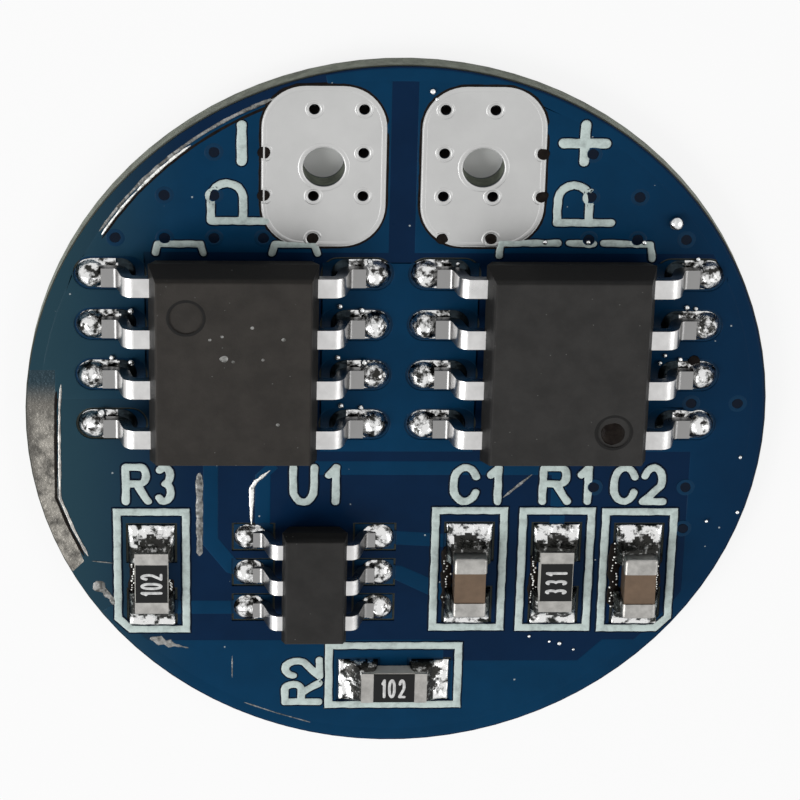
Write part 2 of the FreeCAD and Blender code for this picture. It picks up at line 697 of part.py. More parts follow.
def build_foil_underside():
    """Copper on the underside: an area for each terminal and a large one for the cell."""
    body = new_body("foil_underside_layout")
    areas = new_sketch(body, "foil_underside_areas", FOIL_LOW)
    lower = UPPER_FOIL + " - Dims.foil_gap"
    draw_polygon(areas, (
        ("-" + REACH, REACH),
        ("-" + REACH, UPPER_FOIL),
        ("-Dims.foil_split", UPPER_FOIL),
        ("-Dims.foil_split", REACH),
    ))
    draw_polygon(areas, (
        ("Dims.foil_split", REACH),
        ("Dims.foil_split", UPPER_FOIL),
        (REACH, UPPER_FOIL),
        (REACH, REACH),
    ))
    draw_polygon(areas, (
        ("-" + REACH, lower),
        ("-" + REACH, "-" + REACH),
        (REACH, "-" + REACH),
        (REACH, lower),
    ))
    pad(body, areas, "foil_underside_pad", "Dims.foil_thickness")
    drill_layer(body, "foil_underside", OPEN_VIA)
    feature = DOCUMENT.addObject("Part::Common", "foil_underside")
    feature.Base = body
    feature.Tool = foil_disc("foil_underside_limit", FOIL_LOW)
    return keep("foil_underside", feature)


def terminal_plate(name, side, height, thickness):
    """A plate with the terminal's rounded outline."""
    body = new_body(name, "%d * Dims.terminal_x" % side, "Dims.terminal_y")
    sketch = new_sketch(body, name + "_sketch", height)
    draw_rectangle(sketch, "0", "0", "Dims.terminal_width", "Dims.terminal_length")
    plate = pad(body, sketch, name + "_plate", thickness)
    body.Tip = fillet(body, plate, name + "_corners", "Dims.terminal_corner", is_upright)
    return body


def build_terminal(label, side):
    """Tinned terminal: a plate on each side of the board, bored for the wire and the vias."""
    high = terminal_plate(label + "_high", side, LAND, "Dims.tin_thickness")
    low = terminal_plate(label + "_low", side, None, "Dims.tin_thickness")
    pins = new_body(label + "_pins")
    sketch = new_sketch(pins, label + "_pin_sketch")
    draw_circle(sketch, "%d * Dims.terminal_x" % side, "Dims.terminal_y", "Dims.wire_hole_radius")
    for via_x, via_y in terminal_vias(OPEN_VIAS, side):
        draw_circle(sketch, via_x, via_y, OPEN_VIA)
    pins.Tip = pad(pins, sketch, label + "_pin_pad", "4 * " + MASK_TOP, both_ways=True)
    feature = DOCUMENT.addObject("Part::Cut", label)
    feature.Base = join(label + "_plates", [high, low])
    feature.Tool = pins
    return keep(label, feature)


def build_cell_pad():
    """Tinned pad on the underside for the strip of the cell."""
    body = new_body("cell_pad")
    sketch = new_sketch(body, "cell_pad_sketch")
    draw_rectangle(sketch, "0", "Dims.cell_pad_y", "Dims.cell_pad_width", "Dims.cell_pad_length")
    plate = pad(body, sketch, "cell_pad_plate", "Dims.tin_thickness")
    body.Tip = fillet(body, plate, "cell_pad_corners", "Dims.cell_pad_corner", is_upright)
    return keep("cell_pad", body)


def mask_disc(name, height):
    """The plain disc that a mask layer starts from."""
    body = new_body(name)
    disc = new_sketch(body, name + "_outline", height)
    draw_circle(disc, "0", "0", MASK_RADIUS)
    pad(body, disc, name + "_disc", "Dims.foil_thickness + Dims.mask_cover")
    return body


def build_masks(foil_top, foil_underside, strip, cell_pad):
    """The two mask layers, open over lands and terminals and filling the gaps in the foil."""
    depth = LAND + " + Dims.tin_thickness"
    openings = [
        terminal_plate("minus_opening", -1, None, depth),
        terminal_plate("plus_opening", 1, None, depth),
    ]
    edge_vias = terminal_vias(OPEN_VIAS, -1) + terminal_vias(OPEN_VIAS, 1)
    windows = build_lands("windows", "Dims.window_margin", "Dims.foil_thickness + Dims.mask_cover")
    upper = mask_disc("mask_top_layer", CORE_HIGH)
    drill(upper, "mask_top_vias", edge_vias, OPEN_VIA)
    cut("mask_top", upper, [foil_top, strip] + openings + windows)
    lower = mask_disc("mask_underside_layer", MASK_LOW)
    drill(lower, "mask_underside_vias", edge_vias, OPEN_VIA)
    cut("mask_underside", lower, [foil_underside, cell_pad] + openings)
    return openings + windows


def build_legend(openings):
    """Printed frames round the chips and brackets over the switches."""
    body = new_body("legend_layer")
    sketch = new_sketch(body, "legend_sketch", MASK_TOP)
    for name, x, y, turn in chip_places():
        upright = turn == "90"
        width = "Dims.frame_width" if upright else "Dims.frame_length"
        length = "Dims.frame_length" if upright else "Dims.frame_width"
        middle = "%s + Dims.frame_shift" % y
        if name in ("third_resistor", "second_capacitor"):
            side = -1 if name == "third_resistor" else 1
            draw_cut_frame(sketch, x, middle, width, length, side, "0")
            draw_cut_frame(sketch, x, middle, width, length, side, "Dims.frame_line")
            continue
        draw_rectangle(sketch, x, middle, width, length)
        inner_width = "%s - 2 * Dims.frame_line" % width
        inner_length = "%s - 2 * Dims.frame_line" % length
        draw_rectangle(sketch, x, middle, inner_width, inner_length)
    top = "(Dims.switch_y + Dims.bracket_top)"
    under = top + " - Dims.frame_line"
    foot = top + " - Dims.bracket_leg"
    left = "(-Dims.switch_x - Dims.bracket_half)"
    right = "(-Dims.switch_x + Dims.bracket_half)"
    left_end = "(-Dims.switch_x - Dims.bracket_left_end)"
    right_end = "(-Dims.switch_x + Dims.bracket_right_end)"
    draw_bracket(sketch, left, left_end, top, under, foot)
    draw_bracket(sketch, right_end, right, top, under, foot)
    across = "(Dims.switch_x - Dims.bracket_half)"
    end = "(Dims.switch_x + Dims.bracket_half)"
    draw_bracket(sketch, across, end, top, under, foot)
    body.Tip = pad(body, sketch, "legend_pad", "Dims.ink_thickness")
    cut("legend", body, openings)


def draw_cut_frame(sketch, x, y, width, length, side, inset):
    """A frame outline without its lower corner on the board's edge side."""
    corner = "(Dims.frame_cut - %s * (2 - sqrt(2)))" % inset
    near = "%s - %d * ((%s) / 2 - %s)" % (x, side, width, inset)
    far = "%s + %d * ((%s) / 2 - %s)" % (x, side, width, inset)
    high = "%s + (%s) / 2 - %s" % (y, length, inset)
    low = "%s - (%s) / 2 + %s" % (y, length, inset)
    draw_polygon(sketch, (
        (near, low),
        (near, high),
        (far, high),
        (far, "%s + %s" % (low, corner)),
        ("%s - %d * %s" % (far, side, corner), low),
    ))


def draw_bracket(sketch, left, right, top, under, foot):
    """A line with a leg down at each end."""
    draw_polygon(sketch, (
        (left, top),
        (left, foot),
        (left + " + Dims.frame_line", foot),
        (left + " + Dims.frame_line", under),
        (right + " - Dims.frame_line", under),
        (right + " - Dims.frame_line", foot),
        (right, foot),
        (right, top),
    ))


def lead_heights(kind):
    """Foot underside and shoulder middle of a package's leads."""
    foot = "(%s + Dims.%s_gap)" % (LAND, kind)
    middle = "(%s + Dims.%s_lead_thickness / 2 + Dims.%s_lead_rise)" % (foot, kind, kind)
    return foot, middle


def build_leads(body, kind, side, inner, count):
    """A row of bent leads: shoulder, leg and foot, with rounded bends."""
    foot, middle = lead_heights(kind)
    half = "Dims.%s_lead_thickness / 2" % kind
    thick = "Dims.%s_lead_thickness" % kind
    knee = "Dims.%s_knee" % kind
    ankle = "Dims.%s_ankle" % kind
    toe = "Dims.%s_toe" % kind
    profile = new_sketch(body, body.Name + "_profile", role="XZ_Plane")
    corners = (
        (inner, "%s + %s" % (middle, half)),
        ("%s + %s" % (knee, half), "%s + %s" % (middle, half)),
        ("%s + %s" % (ankle, half), "%s + %s" % (foot, thick)),
        (toe, "%s + %s" % (foot, thick)),
        (toe, foot),
        ("%s - %s" % (ankle, half), foot),
        ("%s - %s" % (knee, half), "%s - %s" % (middle, half)),
        (inner, "%s - %s" % (middle, half)),
    )
    draw_polygon(profile, [("%d * (%s)" % (side, x), z) for x, z in corners])
    bar = pad(body, profile, body.Name + "_bar", "Dims.%s_lead_width" % kind, both_ways=True)
    inside = [corners[6], corners[2]]
    outside = [corners[1], corners[5]]
    tight = fillet(body, bar, body.Name + "_tight", "Dims.bend_radius", edge_at(side, inside))
    wide = "Dims.bend_radius + " + thick
    fillet(body, tight, body.Name + "_wide", wide, edge_at(side, outside))
    repeat(body, body.Name + "_row", count, "Dims.%s_pitch" % kind)


def edge_at(side, corners):
    """A test for edges along Y that pass through one of the given corners."""
    points = [(side * value(x), value(z)) for x, z in corners]

    def test(edge):
        box = edge.BoundBox
        if box.XLength > 1e-6 or box.ZLength > 1e-6:
            return False
        return any(abs(box.XMin - x) < 1e-6 and abs(box.ZMin - z) < 1e-6 for x, z in points)

    return test


def build_moulding(label, kind, x, y, turn, inner_pieces):
    """A drafted moulding in two halves, hollowed for the pieces that it is moulded round."""
    foot, middle = lead_heights(kind)
    body = new_body(label + "_block", x, y, turn)
    outline = new_sketch(body, label + "_outline", middle)
    draw_rectangle(outline, "0", "0", "Dims.%s_width" % kind, "Dims.%s_length" % kind)
    pad(body, outline, label + "_cover", "Dims.%s_cover" % kind, taper="-Dims.draft_angle")
    below = "%s - %s - Dims.%s_clearance" % (middle, foot, kind)
    base = pad(body, outline, label + "_base", below, taper="-Dims.draft_angle", down=True)
    top = value("%s + Dims.%s_cover" % (middle, kind))

    def is_top_edge(edge):
        return edge.BoundBox.ZMin > top - 1e-6

    rounded = fillet(body, base, label + "_edges", "Dims.mould_edge", is_top_edge)
    body.Tip = rounded
    if kind == "switch":
        dimple = new_sketch(body, label + "_dimple", "%s + Dims.switch_cover" % middle)
        draw_circle(dimple, "-Dims.switch_dimple_x", "Dims.switch_dimple_y",
                    "Dims.switch_dimple_radius")
        body.Tip = pocket(body, dimple, label + "_dimple_cut", "Dims.dimple_depth")
    cut(label, body, inner_pieces)


def build_wires(body, kind, side, die_top, lead_top, count):
    """Bond wires: up from the die, then sloping down to the lead."""
    inner = "Dims.%s_wire_inner" % kind
    outer = "Dims.%s_wire_outer" % kind
    half = "Dims.wire_thickness / 2"
    sketch = new_sketch(body, body.Name + "_profile", role="XZ_Plane")
    corners = (
        ("%s - %s" % (inner, half), die_top),
        ("%s - %s" % (inner, half), "%s + Dims.wire_loop" % die_top),
        (outer, "%s + Dims.wire_thickness" % lead_top),
        (outer, lead_top),
        ("%s + %s" % (inner, half), "%s + Dims.wire_loop - Dims.wire_thickness" % die_top),
        ("%s + %s" % (inner, half), die_top),
    )
    draw_polygon(sketch, [("%d * (%s)" % (side, x), z) for x, z in corners])
    pad(body, sketch, body.Name + "_wire", "Dims.wire_thickness", both_ways=True)
    repeat(body, body.Name + "_row", count, "Dims.%s_pitch" % kind)


def add_dome(body, name, kind, where, side):
    """Half a flattened ball of solder on a land."""
    dome = body.newObject("PartDesign::AdditiveEllipsoid", name)
    dome.MapMode = "Deactivated"
    dome.setExpression("Radius1", "Dims.%s_%s_solder_height" % (kind, where))
    dome.setExpression("Radius2", "Dims.%s_%s_solder_reach" % (kind, where))
    dome.setExpression("Radius3", "Dims.%s_solder_width" % kind)
    dome.Angle1 = 0
    dome.setExpression("Placement.Base.x", "%d * Dims.%s_%s_solder_x" % (side, kind, where))
    dome.setExpression("Placement.Base.z", LAND)
    return dome


def build_lead_solder(label, kind, x, y, turn, count, leads):
    """A solder joint under and around each foot of a package."""
    body = new_body(label + "_domes", x, y, turn)
    add_dome(body, label + "_toe", kind, "toe", 1)
    add_dome(body, label + "_heel", kind, "heel", 1)
    repeat(body, label + "_row", count, "Dims.%s_pitch" % kind)
    mirror(body, label + "_sides")
    shift_row(body, kind, count, y, turn)
    cut(label, body, leads)


def shift_row(body, kind, count, y, turn):
    """Start a row half its length before the package's middle."""
    back = "%g * Dims.%s_pitch" % ((count - 1) / 2, kind)
    sign = "+" if turn == "180" else "-"
    body.setExpression("Placement.Base.y", "%s %s %s" % (y, sign, back))


def build_switch(name, x, y, turn):
    """Power switch: free leads, two paddles with leads, two dies, wires and moulding."""
    foot, middle = lead_heights("switch")
    half = "Dims.switch_lead_thickness / 2"
    lead_top = "(%s + %s)" % (middle, half)
    free = new_body(name + "_source_leads", x, y, turn)
    build_leads(free, "switch", -1, "Dims.switch_lead_inner", SWITCH_LEADS)
    shift_row(free, "switch", SWITCH_LEADS, y, turn)
    keep(name + "_source_leads", free)

    drain_row = new_body(name + "_drain_row", x, y, turn)
    overlap = "(Dims.paddle_right - Dims.paddle_split)"
    build_leads(drain_row, "switch", 1, overlap, SWITCH_LEADS)
    shift_row(drain_row, "switch", SWITCH_LEADS, y, turn)
    plates = new_body(name + "_drain_plates", x, y, turn)
    shape = new_sketch(plates, name + "_plate_shape", "%s - %s" % (middle, half))
    plate_length = "(Dims.paddle_length - Dims.paddle_split) / 2"
    plate_middle = "(Dims.paddle_length + Dims.paddle_split) / 4"
    plate_width = "Dims.paddle_left + Dims.paddle_right"
    plate_x = "(Dims.paddle_right - Dims.paddle_left) / 2"
    for end in (-1, 1):
        draw_rectangle(shape, plate_x, "%d * %s" % (end, plate_middle), plate_width, plate_length)
    plates.Tip = pad(plates, shape, name + "_plate_pad", "Dims.switch_lead_thickness")
    frames = DOCUMENT.addObject("Part::Fuse", name + "_drain_frames")
    frames.Base = drain_row
    frames.Tool = plates
    frames.Refine = True
    keep(name + "_drain_frames", frames)

    dies = new_body(name + "_dies", x, y, turn)
    shape = new_sketch(dies, name + "_die_shape", lead_top)
    for end in (-1, 1):
        draw_rectangle(shape, "0", "%d * Dims.switch_pitch" % end,
                       "Dims.switch_die_width", "Dims.switch_die_length")
    dies.Tip = pad(dies, shape, name + "_die_pad", "Dims.switch_die_thickness")
    keep(name + "_dies", dies)

    wires = new_body(name + "_bond_wires", x, y, turn)
    die_top = "(%s + Dims.switch_die_thickness)" % lead_top
    build_wires(wires, "switch", -1, die_top, lead_top, SWITCH_LEADS)
    shift_row(wires, "switch", SWITCH_LEADS, y, turn)
    keep(name + "_bond_wires", wires)

    build_moulding(name + "_moulding", "switch", x, y, turn, [free, frames, dies, wires])
    build_lead_solder(name + "_solder", "switch", x, y, turn, SWITCH_LEADS, [free, frames])


def build_controller(name, x, y, turn):
    """Six lead controller: leads, paddle, die, wires and moulding."""
    foot, middle = lead_heights("control")
    half = "Dims.control_lead_thickness / 2"
    lead_top = "(%s + %s)" % (middle, half)
    leads = new_body(name + "_leads", x, y, turn)
    build_leads(leads, "control", 1, "Dims.control_lead_inner", CONTROL_LEADS)
    mirror(leads, name + "_lead_sides")
    shift_row(leads, "control", CONTROL_LEADS, y, turn)
    keep(name + "_leads", leads)

    paddle_top = "(%s - %s - Dims.control_paddle_drop)" % (middle, half)
    paddle = new_body(name + "_paddle", x, y, turn)
    shape = new_sketch(paddle, name + "_paddle_shape", paddle_top)
    draw_rectangle(shape, "0", "0", "Dims.control_paddle_width", "Dims.control_paddle_length")
    thickness = "Dims.control_paddle_thickness"
    paddle.Tip = pad(paddle, shape, name + "_paddle_pad", thickness, down=True)
    keep(name + "_paddle", paddle)

    die = new_body(name + "_die", x, y, turn)
    shape = new_sketch(die, name + "_die_shape", paddle_top)
    draw_rectangle(shape, "0", "0", "Dims.control_die_width", "Dims.control_die_length")
    die.Tip = pad(die, shape, name + "_die_pad", "Dims.control_die_thickness")
    keep(name + "_die", die)

    die_top = "(%s + Dims.control_die_thickness)" % paddle_top
    wires = new_body(name + "_bond_wires", x, y, turn)
    build_wires(wires, "control", 1, die_top, lead_top, CONTROL_LEADS)
    mirror(wires, name + "_wire_sides")
    shift_row(wires, "control", CONTROL_LEADS, y, turn)
    keep(name + "_bond_wires", wires)

    build_moulding(name + "_moulding", "control", x, y, turn, [leads, paddle, die, wires])
    build_lead_solder(name + "_solder", "control", x, y, turn, CONTROL_LEADS, [leads])


def build_block(label, x, y, turn, height, width, length, thickness):
    """A plain block about the middle of a chip."""
    body = new_body(label, x, y, turn)
    sketch = new_sketch(body, label + "_sketch", height)
    draw_rectangle(sketch, "0", "0", width, length)
    body.Tip = pad(body, sketch, label + "_pad", thickness)
    return body


def build_end_solder(label, x, y, turn, climb, chip):
    """Solder on both lands of a chip, climbing its ends in a hollow curve."""
    body = new_body(label + "_fillets", x, y, turn)
    skirt = body.newObject("PartDesign::AdditiveBox", label + "_skirt")
    skirt.MapMode = "Deactivated"
    skirt.setExpression("Length", "Dims.land_length")
    skirt.setExpression("Width", "Dims.land_width")
    skirt.setExpression("Height", "Dims.solder_skirt")
    skirt.setExpression("Placement.Base.x", "Dims.land_span / 2 - Dims.land_length")
    skirt.setExpression("Placement.Base.y", "-Dims.land_width / 2")
    skirt.setExpression("Placement.Base.z", LAND)
    rise = body.newObject("PartDesign::AdditiveBox", label + "_rise")
    rise.MapMode = "Deactivated"
    rise.setExpression("Length", "(Dims.land_span - Dims.chip_length) / 2 + Dims.cap_thickness")
    rise.setExpression("Width", "Dims.chip_width")
    rise.setExpression("Height", climb)
    rise.setExpression("Placement.Base.x", "Dims.chip_length / 2 - Dims.cap_thickness")
    rise.setExpression("Placement.Base.y", "-Dims.chip_width / 2")
    rise.setExpression("Placement.Base.z", LAND)
    hollow = body.newObject("PartDesign::SubtractiveCylinder", label + "_hollow")
    hollow.MapMode = "Deactivated"
    hollow.setExpression("Radius", "(Dims.land_span - Dims.chip_length) / 2")
    hollow.setExpression("Height", "2 * Dims.land_width")
    hollow.Placement.Rotation = FreeCAD.Rotation(FreeCAD.Vector(1, 0, 0), 90)
    hollow.setExpression("Placement.Base.x", "Dims.land_span / 2")
    hollow.setExpression("Placement.Base.y", "Dims.land_width")
    depth = "(Dims.land_span - Dims.chip_length) / 2 + Dims.solder_skirt / 2"
    hollow.setExpression("Placement.Base.z", "%s + %s" % (LAND, depth))
    mirror(body, label + "_ends")
    cut(label, body, chip)


def build_resistor(name, x, y, turn):
    """Chip resistor: ceramic base, film, glaze and two end caps."""
    base = "(%s + Dims.chip_gap)" % LAND
    ceramic_length = "Dims.chip_length - 2 * Dims.cap_thickness"
    ceramic_height = "Dims.resistor_height - 2 * Dims.cap_thickness"
    top = "(%s + Dims.resistor_height - Dims.cap_thickness)" % base
    between = "Dims.chip_length - 2 * Dims.resistor_band"
    ceramic = build_block(name + "_ceramic", x, y, turn, base + " + Dims.cap_thickness",
                          ceramic_length, "Dims.chip_width", ceramic_height)
    keep(name + "_ceramic", ceramic)
    film = build_block(name + "_film", x, y, turn, top, between,
                       "Dims.chip_width - 2 * Dims.film_margin", "Dims.film_thickness")
    keep(name + "_film", film)
    cover = build_block(name + "_glaze_cover", x, y, turn, top, between,
                        "Dims.chip_width - 2 * Dims.glaze_margin", "Dims.glaze_thickness")
    cut(name + "_glaze", cover, [film])

    caps = new_body(name + "_end_caps", x, y, turn)
    sketch = new_sketch(caps, name + "_cap_profile", role="XZ_Plane")
    end = "Dims.chip_length / 2"
    start = "%s - Dims.resistor_band" % end
    inner = "%s - Dims.cap_thickness" % end
    high = "%s + Dims.resistor_height" % base
    corners = (
        (start, base),
        (end, base),
        (end, high),
        (start, high),
        (start, high + " - Dims.cap_thickness"),
        (inner, high + " - Dims.cap_thickness"),
        (inner, base + " + Dims.cap_thickness"),
        (start, base + " + Dims.cap_thickness"),
    )
    for side in (-1, 1):
        draw_polygon(sketch, [("%d * (%s)" % (side, x), z) for x, z in corners])
    caps.Tip = pad(caps, sketch, name + "_caps", "Dims.chip_width", both_ways=True)
    keep(name + "_end_caps", caps)
    build_end_solder(name + "_solder", x, y, turn, "Dims.resistor_climb", [ceramic, caps])


def build_capacitor(name, x, y, turn):
    """Chip capacitor: a ceramic block and two end caps that wrap five faces."""
    base = "(%s + Dims.chip_gap)" % LAND
    wall = "Dims.cap_thickness"
    ceramic = build_block(name + "_ceramic", x, y, turn, "%s + %s" % (base, wall),
                          "Dims.chip_length - 2 * " + wall, "Dims.chip_width - 2 * " + wall,
                          "Dims.capacitor_height - 2 * " + wall)
    keep(name + "_ceramic", ceramic)
    caps = new_body(name + "_cap_blocks", x, y, turn)
    sketch = new_sketch(caps, name + "_cap_shape", base)
    for side in (-1, 1):
        middle = "%d * (Dims.chip_length - Dims.capacitor_band) / 2" % side
        draw_rectangle(sketch, middle, "0", "Dims.capacitor_band", "Dims.chip_width")
    block = pad(caps, sketch, name + "_cap", "Dims.capacitor_height")
    end = value("Dims.chip_length / 2")

    def is_outer(edge):
        box = edge.BoundBox
        on_end = max(abs(box.XMin), abs(box.XMax)) > end - 1e-6
        return on_end or box.XLength > 1e-6

    caps.Tip = fillet(caps, block, name + "_cap_edges", "Dims.capacitor_edge", is_outer)
    shells = cut(name + "_end_caps", caps, [ceramic])
    build_end_solder(name + "_solder", x, y, turn, "Dims.capacitor_climb", [ceramic, shells])


def build_board():
    """The bare board with its foils, holes, tin, masks and print."""
    build_laminate()
    build_via_barrels()
    foil_top = build_foil_top()
    foil_underside = build_foil_underside()
    build_terminal("terminal_minus", -1)
    build_terminal("terminal_plus", 1)
    cell_pad = build_cell_pad()
    strip = build_edge_strip()
    cut("edge_strip", strip, [foil_top])
    openings = build_masks(foil_top, foil_underside, strip, cell_pad)
    build_legend(openings)


def build_parts():
    """Everything that is soldered to the board."""
    for name, kind, x, y, turn, _ in packages():
        if kind == "switch":
            build_switch(name, x, y, turn)
        else:
            build_controller(name, x, y, turn)
    for name, x, y, turn in chip_places():
        if name.endswith("resistor"):
            build_resistor(name, x, y, turn)
        else:
            build_capacitor(name, x, y, turn)


def check_all():
    """Stop on any failed feature or empty or invalid shape."""
    DOCUMENT.recompute()
    for item in DOCUMENT.Objects:
        if "Invalid" in item.State or "Error" in item.State:
            raise RuntimeError("%s is in state %s" % (item.Name, item.State))
    for label, feature in PIECES:
        shape = feature.Shape
        if shape.isNull() or not shape.isValid() or not shape.Solids:
            raise RuntimeError("%s has no valid shape" % label)


def write_parts():
    """Write each piece to its own file."""
    os.makedirs("parts", exist_ok=True)
    for label, feature in PIECES:
        feature.Shape.exportStep("parts/%s.step" % label)
        print(label, len(feature.Shape.Solids), round(feature.Shape.Volume, 4))


fill_sheet()
build_board()
build_parts()
check_all()
write_parts()
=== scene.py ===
"""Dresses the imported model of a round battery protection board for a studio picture."""

import math

import bmesh
import bpy
import numpy
from bpy.props import FloatProperty, FloatVectorProperty, PointerProperty
from mathutils import Euler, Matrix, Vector, noise
from mathutils.geometry import delaunay_2d_cdt


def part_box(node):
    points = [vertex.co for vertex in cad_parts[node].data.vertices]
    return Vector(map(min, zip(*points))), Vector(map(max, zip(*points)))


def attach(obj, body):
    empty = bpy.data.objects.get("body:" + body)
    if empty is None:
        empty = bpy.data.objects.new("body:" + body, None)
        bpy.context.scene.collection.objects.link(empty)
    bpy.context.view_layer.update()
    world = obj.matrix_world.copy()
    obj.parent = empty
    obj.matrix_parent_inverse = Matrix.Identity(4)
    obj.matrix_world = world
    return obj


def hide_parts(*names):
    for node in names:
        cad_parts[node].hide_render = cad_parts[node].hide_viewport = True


bl_info = {
    "name": "Battery Protection Board",
    "version": (1, 0, 0),
    "blender": (4, 5, 0),
    "location": "3D View > Sidebar > Board",
    "description": "Dresses the model of a round battery protection board",
    "category": "Object",
}

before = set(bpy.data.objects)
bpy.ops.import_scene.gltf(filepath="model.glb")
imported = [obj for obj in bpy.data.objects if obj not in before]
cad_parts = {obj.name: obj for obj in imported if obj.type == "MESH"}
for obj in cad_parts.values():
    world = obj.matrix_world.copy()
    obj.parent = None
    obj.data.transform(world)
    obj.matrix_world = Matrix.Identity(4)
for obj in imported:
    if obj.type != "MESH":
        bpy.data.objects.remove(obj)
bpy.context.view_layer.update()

# Without a seed, noise_vector differs from run to run
noise.seed_set(1)

# Lengths below are millimetres, and the model is in metres
MM = 0.001
SAME_HEIGHT = 0.002
RELIEF = 0.01
VIA_RADIUS = 0.15


def srgb(red, green, blue):
    """The linear colour of a colour given in steps of 0 to 255."""
    def linear(step):
        share = step / 255
        return share / 12.92 if share <= 0.04045 else ((share + 0.055) / 1.055) ** 2.4
    return linear(red), linear(green), linear(blue)


def low_and_high(node):
    """The lowest and highest corner of a model node."""
    low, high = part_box(node)
    return low / MM, high / MM


def middle_of(node):
    """The middle of a model node, seen from above."""
    low, high = low_and_high(node)
    return (low.x + high.x) / 2, (low.y + high.y) / 2


LAND_TOP = low_and_high("foil_top")[1].z
MASK_TOP = low_and_high("mask_top")[1].z
INK_TOP = low_and_high("legend")[1].z
TERMINAL_TOP = low_and_high("terminal_plus")[1].z
BOARD_RADIUS = low_and_high("laminate")[1].x


# Settings

def colour_setting(name, description, steps):
    """A colour that a user may change."""
    return FloatVectorProperty(name=name, description=description, subtype="COLOR",
                               size=3, min=0.0, max=1.0, default=srgb(*steps))


def length_setting(name, description, size):
    """A length in millimetres that a user may change."""
    return FloatProperty(name=name, description=description, default=size * MM,
                         min=0.0, unit="LENGTH", precision=6)


class BoardFinish(bpy.types.PropertyGroup):
    """Colours and small heights of the bare board."""
    mask: colour_setting("Mask", "Solder mask over the bare laminate", (8, 36, 66))
    mask_copper: colour_setting("Mask on copper", "Solder mask over the copper", (6, 54, 86))
    # Greyer tone painted on the mask at the left: a painted reflection of the light from that side
    mask_painted_reflection: colour_setting("Mask's painted reflection", "Greyer tone at the left edge", (38, 66, 78))
    laminate: colour_setting("Laminate", "Glass laminate at the board's edge", (142, 148, 134))
    ink: colour_setting("Ink", "Printed frames and letters", (196, 210, 206))
    tin: colour_setting("Tin", "Tinned terminals and pads", (188, 188, 187))
    bare: colour_setting("Bare strip", "Rough tin of the strip at the edge", (150, 146, 138))
    copper: colour_setting("Copper", "Walls of the vias", (52, 44, 40))
    stroke: length_setting("Stroke", "Width of the strokes of the large letters", 0.2)


class PartFinish(bpy.types.PropertyGroup):
    """Colours of the packages, the solder and the chips."""
    moulding: colour_setting("Moulding", "Black moulding of the packages", (49, 48, 47))
    moulding_warm: colour_setting("Moulding, warm", "Brown tone in the mouldings", (52, 49, 46))
    lead: colour_setting("Lead", "Plated leads", (212, 211, 210))
    solder: colour_setting("Solder", "Solder joints", (226, 226, 225))
    alumina: colour_setting("Alumina", "Ceramic of the resistors", (214, 212, 205))
    glaze: colour_setting("Glaze", "Black glaze of the resistors", (20, 21, 22))
    end_cap: colour_setting("End cap", "Plated ends of the chips", (178, 176, 172))
    capacitor: colour_setting("Capacitor", "Ceramic of the capacitors", (112, 92, 74))
    silicon: colour_setting("Silicon", "Dies inside the packages", (70, 72, 78))


class StageFinish(bpy.types.PropertyGroup):
    """Light and floor of the picture."""
    floor: colour_setting("Floor", "Plain pale floor", (236, 236, 236))
    ambient: FloatProperty(name="Ambient", description="Light from all sides",
                           default=0.55, min=0.0)
    key: FloatProperty(name="Key lamp", description="Power of the large lamp",
                       default=0.16, min=0.0, unit="POWER")
    fill: FloatProperty(name="Fill lamp", description="Power of the lamp at the right",
                        default=0.06, min=0.0, unit="POWER")


# Shared shader groups

def new_group(name, inputs, outputs):
    """An empty shader group with its sockets, and its input and output nodes."""
    tree = bpy.data.node_groups.new(name, "ShaderNodeTree")
    for label, kind, value in inputs:
        socket = tree.interface.new_socket(name=label, in_out="INPUT", socket_type=kind)
        socket.default_value = value
    for label, kind in outputs:
        tree.interface.new_socket(name=label, in_out="OUTPUT", socket_type=kind)
    return tree, tree.nodes.new("NodeGroupInput"), tree.nodes.new("NodeGroupOutput")


def link(tree, source, output, target, socket):
    """Join an output of one node to an input of another."""
    tree.links.new(source.outputs[output], target.inputs[socket])


def add_node(tree, kind, **settings):
    """A new node with its settings."""
    node = tree.nodes.new("ShaderNode" + kind)
    for name, value in settings.items():
        setattr(node, name, value)
    return node


def noise_node(tree, detail):
    """Noise over the object's own coordinates."""
    place = add_node(tree, "TexCoord")
    texture = add_node(tree, "TexNoise")
    texture.inputs["Detail"].default_value = detail
    texture.inputs["Roughness"].default_value = 0.6
    link(tree, place, "Object", texture, "Vector")
    return texture


GREY = (0.5, 0.5, 0.5, 1.0)
# Places of the colour sockets of a mix node
COLOUR_A, COLOUR_B, MIXED = 6, 7, 2


def mix_tones(tree, start, end, share, second):
    """Mix the group's tone with its second one by a share, and put it out."""
    mix = add_node(tree, "Mix", data_type="RGBA")
    link(tree, *share, mix, "Factor")
    link(tree, start, "Tone", mix, COLOUR_A)
    link(tree, start, second, mix, COLOUR_B)
    link(tree, mix, MIXED, end, "Tone")
    return tree


def cloudy_group():
    """Two tones of one colour in soft patches."""
    tree, start, end = new_group("cloudy tones", (
        ("Tone", "NodeSocketColor", GREY),
        ("Second tone", "NodeSocketColor", GREY),
        ("Patches per metre", "NodeSocketFloat", 1000.0),
        ("Start", "NodeSocketFloat", 0.36),
        ("End", "NodeSocketFloat", 0.64),
    ), (("Tone", "NodeSocketColor"),))
    texture = noise_node(tree, 5.0)
    spread = add_node(tree, "MapRange")
    link(tree, start, "Start", spread, "From Min")
    link(tree, start, "End", spread, "From Max")
    link(tree, start, "Patches per metre", texture, "Scale")
    link(tree, texture, "Fac", spread, "Value")
    return mix_tones(tree, start, end, (spread, "Result"), "Second tone")


